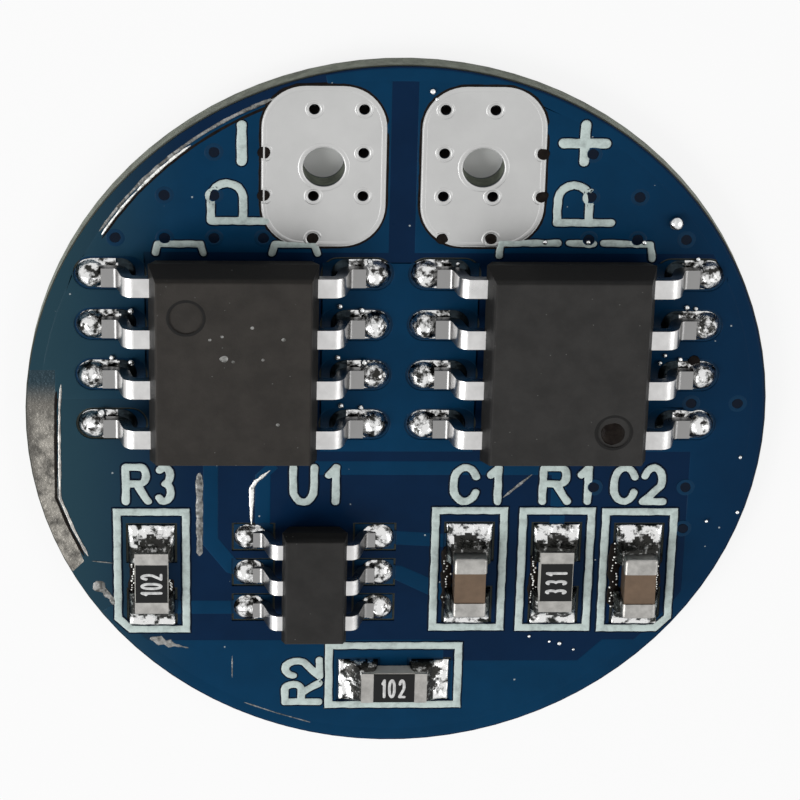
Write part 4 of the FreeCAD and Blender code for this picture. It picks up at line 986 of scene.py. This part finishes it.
# Toe and heel domes (place, reach, half width, height), foot (reach, half width, height),
# height of the film, and where the painted shade under the lead ends and the bright solder starts
SWITCH_JOINT = ((3.27, 0.37, 0.34, 0.37), (2.5, 0.3, 0.26, 0.2), (3.0, 0.24, 0.3), 0.05, 2.66)
CONTROL_JOINT = ((1.58, 0.36, 0.31, 0.23), (1.25, 0.2, 0.26, 0.12), (1.44, 0.2, 0.17), 0.06, 1.15)
# How much the height of the solder, its surface and the edge of its bright part vary, and
# how many waves there are in a millimetre
TIDE, TIDE_ALONG, TIDE_ACROSS = 0.22, 2.2, 2.6
RIPPLE, RIPPLE_WAVES = 0.028, 6.5
EDGE_WANDER, EDGE_WAVES = 0.12, 4
DIMPLE, DIMPLE_RIM = (1.08, 1.42), 0.42
LEAST_HALF_WIDTH = 0.02


def slot_width(span, half):
    """Half width of a land with round ends at a place along it."""
    def width_at(along):
        over = max(0.0, abs(along) - (span - half))
        return max(LEAST_HALF_WIDTH, math.sqrt(max(0.0, half ** 2 - over ** 2)))
    return width_at


def rim(distance, reach=0.12):
    """Share of the height near the edge of a joint, where the solder rounds off."""
    share = min(1.0, max(0.0, distance / reach))
    return math.sqrt(1 - (1 - share) ** 2)


def lead_joint(centre, side, row, land, shape, seed):
    """Solder of one lead: a skin over the land that climbs to the foot and the leg."""
    inner, outer, half = land
    toe, heel, foot, film, shade_until = shape
    middle, span = (inner + outer) / 2, (outer - inner) / 2

    def height_at(along, across):
        over = max(0.0, abs(along) - (span - half))
        edge = half - math.hypot(over, across)
        from_centre = along + middle
        tide = 1 + TIDE * noise.noise(
            Vector((from_centre * TIDE_ALONG, across * TIDE_ACROSS, seed * 3.7)))
        front = dome(from_centre, across, *toe) * tide
        back = dome(from_centre, across, *heel) * tide
        height = smooth_highest(film, front, back)
        foot_reach, foot_half, foot_height = foot
        if from_centre < foot_reach and abs(across) < foot_half:
            height = min(height, foot_height)
        ripple = RIPPLE * noise.noise(
            Vector((from_centre * RIPPLE_WAVES, across * RIPPLE_WAVES, seed)))
        return max(0.0, height + ripple) * rim(edge)

    def place(along, across, height):
        return (centre[0] + side * (along + middle), centre[1] + row + across, LAND_TOP + height)

    points, faces = patch(span, slot_width(span, half), height_at, place)
    # Faces nearer the package than the shade's edge get dark solder: flux and painted shade under
    # the lead
    finishes = []
    for face in faces:
        x, y, _ = points[face[0]]
        along = side * (x - centre[0])
        wander = EDGE_WANDER * noise.noise(Vector((x * EDGE_WAVES, y * EDGE_WAVES, seed)))
        finishes.append(0 if along + wander > shade_until else 1)
    return points, faces, finishes


def build_joints(name, land, shape, pitch, leads, seed):
    """All solder joints of one package."""
    centre = middle_of(name + "_moulding")
    skin = Skin()
    for side in (-1, 1):
        for lead in range(leads):
            seed += 1
            row = (lead - (leads - 1) / 2) * pitch
            skin.add(*lead_joint(centre, side, row, land, shape, seed))
    skin.piece(name + "_joints", "solder, dull solder", "solder", replaces=(name + "_solder",),
               sharp=80.0)


def build_dimple_marks():
    """Ring of painted shade at the edge of each dimple, and the drop of flux in the right one."""
    rings = Skin()
    for name, side, _ in SWITCHES:
        x, y = middle_of(name + "_moulding")
        top = low_and_high(name + "_moulding")[1].z
        place = (x - side * DIMPLE[0], y + side * DIMPLE[1])
        rings.add(*bead(ring(place, DIMPLE_RIM, 40), 0.035, 0.003, top - 0.0015,
                        closed=True, ragged=0.3))
    rings.piece("dimple_rings", "dark moulding", "left_switch_moulding")
    drop = Skin()
    drop.add(*lump((place[0] - 0.02, place[1] - 0.04, top - 0.062), 0.3, 0.12, 71))
    drop.piece("dimple_flux", "dark flux", "right_switch_moulding", closed=True, sharp=80.0)


class BOARD_OT_switches(bpy.types.Operator):
    """Finish the two power switches and their sixteen solder joints"""
    bl_idname = "board.switches"
    bl_label = "Power switches"

    def execute(self, context):
        for name, _, seed in SWITCHES:
            dress(name.replace("_switch", " moulding"), name + "_moulding")
            dress("lead", name + "_source_leads", name + "_drain_frames")
            dress("silicon", name + "_dies")
            dress("bond wire", name + "_bond_wires")
            build_joints(name, SWITCH_LAND, SWITCH_JOINT, SWITCH_PITCH, 4, seed)
        build_dimple_marks()
        return {"FINISHED"}


class BOARD_OT_controller(bpy.types.Operator):
    """Finish the controller and its six solder joints"""
    bl_idname = "board.controller"
    bl_label = "Controller"

    def execute(self, context):
        dress("controller moulding", "controller_moulding")
        dress("lead", "controller_leads", "controller_paddle")
        dress("silicon", "controller_die")
        dress("bond wire", "controller_bond_wires")
        build_joints("controller", CONTROL_LAND, CONTROL_JOINT, CONTROL_PITCH, 3, 20)
        return {"FINISHED"}


# Chips

CHIPS = (
    # name, turned to lie along Y, climb of the solder, width of the end cap
    ("first_resistor", True, 0.36, 0.3),
    ("second_resistor", False, 0.36, 0.3),
    ("third_resistor", True, 0.36, 0.3),
    ("first_capacitor", True, 0.52, 0.4),
    ("second_capacitor", True, 0.52, 0.4),
)
CHIP_HALF_LENGTH, CHIP_HALF_WIDTH = 0.8, 0.4
CHIP_LAND_MIDDLE, CHIP_LAND_HALF_LENGTH, CHIP_LAND_HALF_WIDTH = 0.865, 0.485, 0.56
CHIP_TIDE, CHIP_TIDE_WAVES = 0.25, 1.8
CHIP_RIPPLE, CHIP_RIPPLE_WAVES = 0.035, 6
CHIP_WANDER, CHIP_WANDER_WAVES = 0.3, 3.5
# Height of the thin solder, how far from the cap it climbs and how hollow the climb is
CHIP_FILM, CLIMB_REACH, CLIMB_HOLLOW = 0.06, 0.5, 2.2
# Where the painted shade in the solder ends beyond the end of a chip, and the bright solder starts
CHIP_SHADE_REACH = 0.3
RESISTOR_VALUES = (("first_resistor", "331"), ("second_resistor", "102"),
                   ("third_resistor", "102"))
VALUE_LETTER, VALUE_STROKE, VALUE_GAP, VALUE_REACH = (0.15, 0.46), 0.075, 0.75, 0.3
CHIP_FINISHES = {
    "resistor": (("alumina", "ceramic"), ("film", "film"), ("glaze", "glaze"),
                 ("end cap", "end_caps")),
    "capacitor": (("capacitor", "ceramic"), ("capacitor end", "end_caps")),
}


def chip_joint(centre, turned, side, climb, band, seed):
    """Solder of one end of a chip: it climbs the cap in a hollow curve."""
    def height_at(along, across):
        from_centre = along + CHIP_LAND_MIDDLE
        beyond = max(0.0, from_centre - CHIP_HALF_LENGTH, CHIP_HALF_LENGTH - band - from_centre)
        beside = max(0.0, abs(across) - CHIP_HALF_WIDTH)
        away = math.hypot(beyond, beside)
        edge = min(CHIP_LAND_HALF_LENGTH - abs(along), CHIP_LAND_HALF_WIDTH - abs(across))
        tide = 1 + CHIP_TIDE * noise.noise(
            Vector((from_centre * CHIP_TIDE_WAVES, across * CHIP_TIDE_WAVES, seed * 2.3)))
        hollow = max(0.0, 1 - away / CLIMB_REACH) ** CLIMB_HOLLOW
        ripple = CHIP_RIPPLE * noise.noise(
            Vector((from_centre * CHIP_RIPPLE_WAVES, across * CHIP_RIPPLE_WAVES, seed)))
        return (CHIP_FILM + (climb - CHIP_FILM) * hollow * tide + ripple) * rim(edge, 0.1)

    def place(along, across, height):
        reach = side * (along + CHIP_LAND_MIDDLE)
        if turned:
            return centre[0] + across, centre[1] + reach, LAND_TOP + height
        return centre[0] + reach, centre[1] + across, LAND_TOP + height

    points, faces = patch(CHIP_LAND_HALF_LENGTH, lambda along: CHIP_LAND_HALF_WIDTH,
                          height_at, place, 26, 30)
    # Solder near the chip gets painted shade, the rest the bright solder
    finishes = []
    for face in faces:
        x, y, _ = points[face[0]]
        along, across = x - centre[0], y - centre[1]
        if turned:
            along, across = across, along
        beyond = max(0.0, side * along - CHIP_HALF_LENGTH)
        wander = 0.35 * abs(across) + CHIP_WANDER * noise.noise(
            Vector((x * CHIP_WANDER_WAVES, y * CHIP_WANDER_WAVES, seed)))
        finishes.append(0 if beyond + wander > CHIP_SHADE_REACH else 1)
    return points, faces, finishes


def build_chip(number, name, turned, climb, band):
    """Materials and solder of one chip."""
    for material, layer in CHIP_FINISHES[name.split("_")[1]]:
        dress(material, name + "_" + layer)
    centre = middle_of(name + "_ceramic")
    skin = Skin()
    for side in (-1, 1):
        skin.add(*chip_joint(centre, turned, side, climb, band, 30 + 2 * number + side))
    skin.piece(name + "_joints", "chip solder, dark solder", "solder",
               replaces=(name + "_solder",), sharp=80.0)


def build_values():
    """Printed value of each resistor, in plain digits."""
    outlines = []
    for name, digits in RESISTOR_VALUES:
        low, high = low_and_high(name + "_glaze")
        x, y = middle_of(name + "_glaze")
        upright = high.y - low.y > high.x - low.x
        half = VALUE_LETTER[1] / 2
        corner = (x + half, y - VALUE_REACH) if upright else (x - VALUE_REACH, y - half)
        outlines.extend(capsule(a, b, VALUE_STROKE, 4) for a, b in text_strokes(
            digits, corner, VALUE_LETTER, upright, VALUE_GAP))
    top = low_and_high("first_resistor_glaze")[1].z
    skin = Skin()
    skin.add(*sheet(outlines, any_of, top - 0.002, top + 0.006, VALUE_PROFILE))
    skin.piece("resistor_values", "value ink", "ink")


class BOARD_OT_chips(bpy.types.Operator):
    """Finish the chip resistors and capacitors, their solder and printed values"""
    bl_idname = "board.chips"
    bl_label = "Chips"

    def execute(self, context):
        for number, chip in enumerate(CHIPS):
            build_chip(number, *chip)
        build_values()
        return {"FINISHED"}


# Small drops of solder and marks

BOARD_DROPS = (
    # place, size
    ((-6.23, 2.77), 0.07), ((-6.68, 1.58), 0.06), ((-6.24, 1.48), 0.07), ((-1.4, 2.89), 0.06),
    ((-0.89, 2.79), 0.07), ((-1.43, 1.6), 0.06), ((-0.82, 1.5), 0.07), ((-1.34, 0.37), 0.06),
    ((-0.87, 0.32), 0.06), ((-0.73, 4.03), 0.06), ((6.68, 2.89), 0.06), ((6.89, 2.86), 0.05),
    ((6.13, 1.49), 0.05), ((6.24, 1.67), 0.05), ((6.6, 1.57), 0.06), ((6.87, 4.09), 0.05),
    ((6.3, 5.01), 0.14), ((8.2, -0.97), 0.04), ((8.23, -2.43), 0.04), ((7.49, -2.65), 0.035),
    ((0.61, 8.13), 0.06), ((0.71, 7.94), 0.04), ((-6.93, 0.2), 0.09),
    ((3.35, -5.8), 0.035), ((3.85, -5.95), 0.03), ((4.1, -6.0), 0.045), ((4.45, -6.17), 0.03),
    ((3.3, 4.5), 0.05), ((4.3, 4.5), 0.045), ((5.6, 4.5), 0.05), ((1.3, 3.97), 0.045),
)
MOULDING_GLINTS = (
    # place, size
    ((-3.44, 2.98), 0.035), ((-2.72, 2.69), 0.04), ((-4.12, 2.76), 0.03), ((-4.4, 2.68), 0.03),
    ((-4.08, 2.21), 0.075), ((-3.87, 2.14), 0.03), ((-3.19, 2.19), 0.03), ((-2.84, 0.56), 0.035),
)
FLUX_BESIDE_CHIPS = (
    # chip, place across and along it, half width and half length
    ("first_capacitor", -0.52, -0.1, 0.13, 0.85), ("first_resistor", -0.52, -0.2, 0.11, 0.7),
    ("second_capacitor", -0.55, 0.0, 0.15, 0.9), ("second_capacitor", 0.5, -0.1, 0.09, 0.75),
    ("third_resistor", -0.47, -0.1, 0.08, 0.75), ("third_resistor", 0.45, -0.5, 0.07, 0.4),
)


FLUX_SPECKS, SPECK_SIZE = 24, 0.022
SOLDER_FILM = 0.04


def build_flux():
    """Dark flux with fine solder specks beside the chips."""
    flux = Skin()
    specks = Skin()
    for number, (name, across, along, half, reach) in enumerate(FLUX_BESIDE_CHIPS):
        x, y = middle_of(name + "_ceramic")
        x, y = x + across, y + along
        edges = capsule((x, y - reach + half), (x, y + reach - half), 2 * half)
        flux.add(*sheet([roughen(edges, 0.07, 0.06)], any_of, LAND_TOP, MASK_TOP + 0.02,
                        STEP_PROFILE))
        for step in range(FLUX_SPECKS):
            jump = noise.noise_vector(Vector((number * 7.1, step * 3.3, 0.5)))
            share = 2 * step / (FLUX_SPECKS - 1) - 1
            spot = (x + jump.x * 1.2 * half, y + reach * share * 0.95, MASK_TOP + 0.01)
            specks.add(*lump(spot, SPECK_SIZE + 0.02 * abs(jump.z), 0.7, step + 31 * number))
    flux.piece("chip_flux", "dark flux", "bare_tin")
    specks.piece("chip_flux_specks", "bare metal", "solder", closed=True, sharp=80.0)


def is_on_switch_land(place):
    """Whether a place lies on the solder of a switch's lead."""
    inner, outer, half = SWITCH_LAND
    for name, _, _ in SWITCHES:
        x, y = middle_of(name + "_moulding")
        row = (place[1] - y) / SWITCH_PITCH + 0.5
        across = abs(row - round(row)) * SWITCH_PITCH
        if inner < abs(place[0] - x) < outer and across < half:
            return True
    return False


def build_drops():
    """Drops of solder beside the leads."""
    drops = Skin()
    for seed, (place, size) in enumerate(BOARD_DROPS):
        base = MASK_TOP + (SOLDER_FILM if is_on_switch_land(place) else 0.0)
        drops.add(*lump((*place, base), 1.2 * size, 0.7, seed))
    drops.piece("solder_drops", "bright drop", "solder", closed=True, sharp=80.0)


def build_glints():
    """Flat drops of flux on the left switch."""
    glints = Skin()
    top = low_and_high("left_switch_moulding")[1].z
    for seed, (place, size) in enumerate(MOULDING_GLINTS):
        glints.add(*lump((*place, top - 0.1 * size), 1.5 * size, 0.05, 50 + seed, 1.2))
    glints.piece("moulding_glints", "dull metal", "solder", closed=True, sharp=80.0)


class BOARD_OT_drops(bpy.types.Operator):
    """Scatter the small drops of solder and flux"""
    bl_idname = "board.drops"
    bl_label = "Solder drops"

    def execute(self, context):
        build_drops()
        build_glints()
        build_flux()
        return {"FINISHED"}


# Materials

MASK_DUST = ((0.32, 0.36, 0.38), 1900.0, 0.045)
MOULDING_DUST = ((0.1, 0.1, 0.095), 3500.0, 0.05)


def make_board_materials(board):
    """Laminate, mask, copper, tin and ink."""
    # Painted light on the mask: a greyer painted reflection towards the left edge, and painted
    # shade that darkens it towards the right
    shades = ((board.mask_painted_reflection, ALONG_X, -4.5, -8.2),
              (scaled_tone(board.mask, 0.8), ALONG_X, 3.0, 12.0))
    for name, colour in (("mask", board.mask), ("mask on copper", board.mask_copper)):
        finish(name, colour, patches=900, roughness=0.32, change=0.2, specular=0.05,
               grains=16000, waves=1800, share=0.7, depth=0.003, specks=MASK_DUST, shades=shades)
    finish("mask on via", scaled_tone(board.mask_copper, 0.82), patches=2500, roughness=0.3,
           specular=0.1, depth=0.003)
    # Darker mask over the covered vias, with painted shade of their dimples
    finish("dark mask", scaled_tone(board.mask, 0.3), patches=2500, roughness=0.25,
           specular=0.1, depth=0.003)
    finish("laminate", board.laminate, scaled_tone(board.laminate, 0.55), patches=3500,
           roughness=0.6, specular=0.2, grains=26000, waves=6000, depth=0.012,
           shades=((scaled_tone(board.laminate, 0.2), UPWARD, 0.5, 0.6),))
    finish("copper", board.copper, scaled_tone(board.copper, 0.5), patches=5000,
           roughness=0.5, specular=0.1)
    finish("tin", board.tin, scaled_tone(board.tin, 0.93), patches=700, roughness=0.42,
           change=0.12, metallic=1.0, grains=30000, waves=1500, share=0.6, depth=0.002)
    finish("bare strip", board.bare, scaled_tone(board.bare, 0.25), patches=3600,
           edge=(0.4, 0.66), roughness=0.45, change=0.3, metallic=0.6, grains=16000,
           waves=6500, depth=0.05,
           # The strip darkens towards the outer edge and towards its top, where it turns to the
           # mask's painted reflection tone
           shades=((scaled_tone(board.bare, 0.3), ALONG_X, -8.4, -8.68),
                   (scaled_tone(board.bare, 0.42), ALONG_Y, -0.3, 0.5),
                   (scaled_tone(board.mask_painted_reflection, 0.55), ALONG_Y, 0.3, 1.0)))
    finish("ink", board.ink, scaled_tone(board.ink, 0.68), patches=5200, edge=(0.45, 0.7),
           roughness=0.4, specular=0.4, waves=7000, depth=0.012)
    # Painted shadow round the ink on the mask
    finish("ink edge", scaled_tone(board.mask, 0.35), patches=2500, roughness=0.5,
           specular=0.05)
    finish("value ink", (0.75, 0.75, 0.74), (0.5, 0.5, 0.5), patches=9000, roughness=0.6,
           specular=0.3)


def make_mark_materials():
    """Bare lines, drops and flux."""
    finish("bare metal", (0.78, 0.78, 0.75), (0.2, 0.2, 0.18), patches=6000,
           edge=(0.5, 0.7), roughness=0.35, change=0.3, metallic=1.0, grains=22000,
           waves=7000, depth=0.02)
    finish("ridge metal", (0.5, 0.49, 0.46), (0.22, 0.21, 0.2), patches=4000,
           roughness=0.4, change=0.2, metallic=1.0, depth=0.01)
    finish("bright drop", (0.85, 0.86, 0.86), (0.45, 0.46, 0.46), patches=5000,
           roughness=0.2, metallic=1.0, depth=0.004)
    finish("dull metal", (0.3, 0.3, 0.29), (0.06, 0.06, 0.055), patches=7000, roughness=0.45,
           change=0.2, metallic=0.7, grains=22000, waves=7000, depth=0.02)
    # Dark flux, also used for the lines of painted shade
    finish("dark flux", (0.006, 0.004, 0.0035), (0.013, 0.01, 0.008), patches=6000,
           roughness=0.3, specular=0.05, depth=0.02)


def make_solder_materials(colour):
    """Bright and dull solder of the packages and of the chips."""
    # The near-black second tones of the bright solder and the chip solder are painted dark
    # reflections
    finish("solder", colour, (0.03, 0.03, 0.028), patches=4800, edge=(0.47, 0.58),
           roughness=0.2, change=0.2, metallic=1.0, grains=14000, waves=6000, depth=0.02)
    # Dark solder under the leads: flux and painted shade
    finish("dull solder", (0.02, 0.03, 0.036), (0.004, 0.008, 0.012), patches=6000,
           roughness=0.35, change=0.2, metallic=0.8, grains=14000, waves=6000, depth=0.02)
    finish("chip solder", colour, (0.02, 0.022, 0.02), patches=4200,
           edge=(0.5, 0.6), roughness=0.22, change=0.2, metallic=1.0, waves=6000, depth=0.02)
    # Solder near the chips in painted shade
    finish("dark solder", (0.03, 0.03, 0.028), (0.4, 0.4, 0.39), patches=6500,
           edge=(0.56, 0.66), roughness=0.25, metallic=1.0, waves=6000, depth=0.02)


def make_package_materials(parts):
    """Mouldings, leads, dies and their wires."""
    # Painted shade: the sides of the mouldings darken below their top edge; the same tone is the
    # painted shade of the dimple rings
    painted_side_shade = scaled_tone(parts.moulding, 0.3)
    for name, colour, height in (
            ("left moulding", parts.moulding_warm, 2.1),
            ("right moulding", parts.moulding, 2.1),
            ("controller moulding", scaled_tone(parts.moulding, 0.8), 1.7)):
        finish(name, scaled_tone(colour, 1.05), scaled_tone(colour, 0.76), patches=1700,
               roughness=0.62, specular=0.15, grains=24000, waves=3000, share=0.3, depth=0.008,
               specks=MOULDING_DUST, shades=((painted_side_shade, UPWARD, height, height - 0.12),))
    finish("dark moulding", painted_side_shade, patches=3000, roughness=0.6, specular=0.15)
    # Painted shade: the legs and feet of the leads darken below the shoulders
    finish("lead", parts.lead, scaled_tone(parts.lead, 0.85), patches=2500, roughness=0.3,
           change=0.2, metallic=1.0, grains=20000, waves=4000, depth=0.006,
           shades=((scaled_tone(parts.lead, 0.42), UPWARD, 1.38, 1.15),))
    finish("silicon", parts.silicon, patches=2000, roughness=0.25, metallic=0.6)
    finish("bond wire", (0.66, 0.66, 0.66), patches=4000, roughness=0.3, metallic=1.0)


def make_chip_materials(parts):
    """Bodies and ends of the resistors and capacitors."""
    finish("alumina", parts.alumina, patches=4000, roughness=0.7, depth=0.006)
    finish("film", (0.05, 0.05, 0.05), patches=4000, roughness=0.5)
    finish("glaze", parts.glaze, patches=2500, roughness=0.35, specular=0.2, depth=0.006)
    # Painted shade: the end caps darken below their tops
    for name, dark, high, low in (("end cap", 0.35, 1.04, 0.9), ("capacitor end", 0.3, 1.36, 1.1)):
        finish(name, parts.end_cap, scaled_tone(parts.end_cap, 0.7), patches=3500,
               roughness=0.4, change=0.2, metallic=1.0, depth=0.01,
               shades=((scaled_tone(parts.end_cap, dark), UPWARD, high, low),))
    # Painted shade: the sides of the capacitors darken below their tops
    finish("capacitor", parts.capacitor, scaled_tone(parts.capacitor, 0.8), patches=3500,
           roughness=0.5, specular=0.3, grains=26000, depth=0.008,
           shades=((scaled_tone(parts.capacitor, 0.4), UPWARD, 1.38, 1.2),))


class BOARD_OT_materials(bpy.types.Operator):
    """Make the materials from the settings"""
    bl_idname = "board.materials"
    bl_label = "Materials"

    def execute(self, context):
        GROUPS.update((key, make()) for key, make in GROUP_MAKERS.items())
        parts = context.scene.part_finish
        make_board_materials(context.scene.board_finish)
        make_mark_materials()
        make_solder_materials(parts.solder)
        make_package_materials(parts)
        make_chip_materials(parts)
        return {"FINISHED"}


# Stage

CAMERA_PLACE = (-3.90855, 30.77991, 67.80354)
CAMERA_TURN = (-24.6206, -2.43315, 1.20595)
CAMERA_LENS, SENSOR_WIDTH = 141.2288, 36.0
CAMERA_SHIFT = (0.0248204, 0.0223531)
SKY_DIRECTION = (-0.15, -0.4, 0.9)
SKY_START, SKY_SHARES = -0.3, (0.08, 1.2)
WHITE = (1, 1, 1, 1)
FLOOR_HALF, FLOOR_GLOW = 1500.0, 0.85
LAMPS = (
    # name, setting of the power, place, size
    ("key lamp", "key", (-120, -60, 110), 100),
    ("fill lamp", "fill", (130, -20, 110), 100),
)


def shown_white(tree):
    """One for rays from the camera and for reflected or refracted ones, else nothing."""
    rays = add_node(tree, "LightPath")
    seen = add_node(tree, "Math", operation="MAXIMUM")
    mirrored = add_node(tree, "Math", operation="MAXIMUM")
    link(tree, rays, "Is Camera Ray", seen, 0)
    link(tree, rays, "Is Glossy Ray", seen, 1)
    link(tree, seen, "Value", mirrored, 0)
    link(tree, rays, "Is Transmission Ray", mirrored, 1)
    return mirrored


def show_white(tree, share, plain, white, output):
    """Mix a white shader into the plain one by a share, and put it out."""
    mix = add_node(tree, "MixShader")
    link(tree, share, "Value", mix, 0)
    link(tree, plain, 0, mix, 1)
    link(tree, white, 0, mix, 2)
    link(tree, mix, "Shader", tree.nodes[output], "Surface")


def build_world(ambient):
    """White to the camera and in reflections, a softer light on the object."""
    world = bpy.data.worlds.new("studio")
    bpy.context.scene.world = world
    world.use_nodes = True
    tree = world.node_tree
    light = tree.nodes["Background"]
    light.inputs["Color"].default_value = WHITE
    place = add_node(tree, "TexCoord")
    height = add_node(tree, "VectorMath", operation="DOT_PRODUCT")
    height.inputs[1].default_value = SKY_DIRECTION
    fade = add_node(tree, "MapRange")
    fade.inputs["From Min"].default_value = SKY_START
    fade.inputs["To Min"].default_value = SKY_SHARES[0] * ambient
    fade.inputs["To Max"].default_value = SKY_SHARES[1] * ambient
    link(tree, place, "Generated", height, 0)
    link(tree, height, "Value", fade, "Value")
    link(tree, fade, "Result", light, "Strength")
    white = add_node(tree, "Background")
    white.inputs["Color"].default_value = WHITE
    show_white(tree, shown_white(tree), light, white, "World Output")


def build_floor(colour):
    """A plain pale floor that looks nearly white and keeps the object's shadow."""
    finish("floor", colour, scaled_tone(colour, 0.98), patches=6, roughness=0.9, specular=0.1,
           grains=400, waves=20, depth=0.05)
    tree = MATERIALS["floor"].node_tree
    glow = add_node(tree, "Emission")
    glow.inputs["Color"].default_value = WHITE
    part = add_node(tree, "Math", operation="MULTIPLY")
    place = add_node(tree, "TexCoord")
    away = add_node(tree, "VectorMath", operation="LENGTH")
    clear = add_node(tree, "MapRange")
    clear.inputs["From Min"].default_value = 0.92 * BOARD_RADIUS * MM
    clear.inputs["From Max"].default_value = BOARD_RADIUS * MM
    clear.inputs["To Max"].default_value = FLOOR_GLOW
    link(tree, place, "Object", away, 0)
    link(tree, away, "Value", clear, "Value")
    link(tree, clear, "Result", part, 1)
    link(tree, shown_white(tree), "Value", part, 0)
    show_white(tree, part, tree.nodes["Principled BSDF"], glow, "Material Output")
    half = FLOOR_HALF * MM
    mesh = bpy.data.meshes.new("floor")
    mesh.from_pydata([(-half, -half, 0), (half, -half, 0), (half, half, 0), (-half, half, 0)],
                     [], [(0, 1, 2, 3)])
    mesh.materials.append(MATERIALS["floor"])
    floor = bpy.data.objects.new("floor", mesh)
    bpy.context.scene.collection.objects.link(floor)


def build_lamp(name, power, place, size):
    """A square soft lamp that faces the board."""
    lamp = bpy.data.lights.new(name, "AREA")
    lamp.energy = power
    lamp.size = size * MM
    holder = bpy.data.objects.new(name, lamp)
    holder.location = Vector(place) * MM
    holder.rotation_euler = (-holder.location).to_track_quat("-Z", "Y").to_euler()
    bpy.context.scene.collection.objects.link(holder)


def build_camera():
    """The camera of the picture."""
    camera = bpy.data.cameras.new("camera")
    camera.lens = CAMERA_LENS
    camera.sensor_width = SENSOR_WIDTH
    camera.shift_x, camera.shift_y = CAMERA_SHIFT
    camera.clip_start = 0.001
    camera.clip_end = 10.0
    holder = bpy.data.objects.new("camera", camera)
    holder.location = Vector(CAMERA_PLACE) * MM
    holder.rotation_euler = Euler([math.radians(angle) for angle in CAMERA_TURN])
    bpy.context.scene.collection.objects.link(holder)
    bpy.context.scene.camera = holder


class BOARD_OT_stage(bpy.types.Operator):
    """Set the floor, the lamps, the surroundings and the camera"""
    bl_idname = "board.stage"
    bl_label = "Stage"

    def execute(self, context):
        settings = context.scene.stage_finish
        build_world(settings.ambient)
        build_floor(settings.floor)
        for name, setting, place, size in LAMPS:
            build_lamp(name, getattr(settings, setting), place, size)
        build_camera()
        context.scene.view_settings.view_transform = "Standard"
        return {"FINISHED"}


STEPS = (
    BOARD_OT_materials,
    BOARD_OT_bare_board,
    BOARD_OT_lettering,
    BOARD_OT_bare_lines,
    BOARD_OT_switches,
    BOARD_OT_controller,
    BOARD_OT_chips,
    BOARD_OT_drops,
    BOARD_OT_stage,
)


class BOARD_PT_panel(bpy.types.Panel):
    """Settings and steps of the board"""
    bl_idname = "BOARD_PT_panel"
    bl_label = "Protection board"
    bl_space_type = "VIEW_3D"
    bl_region_type = "UI"
    bl_category = "Board"

    def draw(self, context):
        for settings in (context.scene.board_finish, context.scene.part_finish,
                         context.scene.stage_finish):
            for name in settings.__annotations__:
                self.layout.prop(settings, name)
        for step in STEPS:
            self.layout.operator(step.bl_idname)


SETTINGS = (BoardFinish, PartFinish, StageFinish)


def register():
    """Make the settings, steps and panel known."""
    for kind in (*SETTINGS, *STEPS, BOARD_PT_panel):
        bpy.utils.register_class(kind)
    bpy.types.Scene.board_finish = PointerProperty(type=BoardFinish)
    bpy.types.Scene.part_finish = PointerProperty(type=PartFinish)
    bpy.types.Scene.stage_finish = PointerProperty(type=StageFinish)


def unregister():
    """Take the panel, steps and settings away again."""
    del bpy.types.Scene.stage_finish
    del bpy.types.Scene.part_finish
    del bpy.types.Scene.board_finish
    for kind in reversed((*SETTINGS, *STEPS, BOARD_PT_panel)):
        bpy.utils.unregister_class(kind)


def main():
    """Run every step."""
    register()
    for step in STEPS:
        group, name = step.bl_idname.split(".")
        getattr(getattr(bpy.ops, group), name)()


if __name__ == "__main__":
    main()
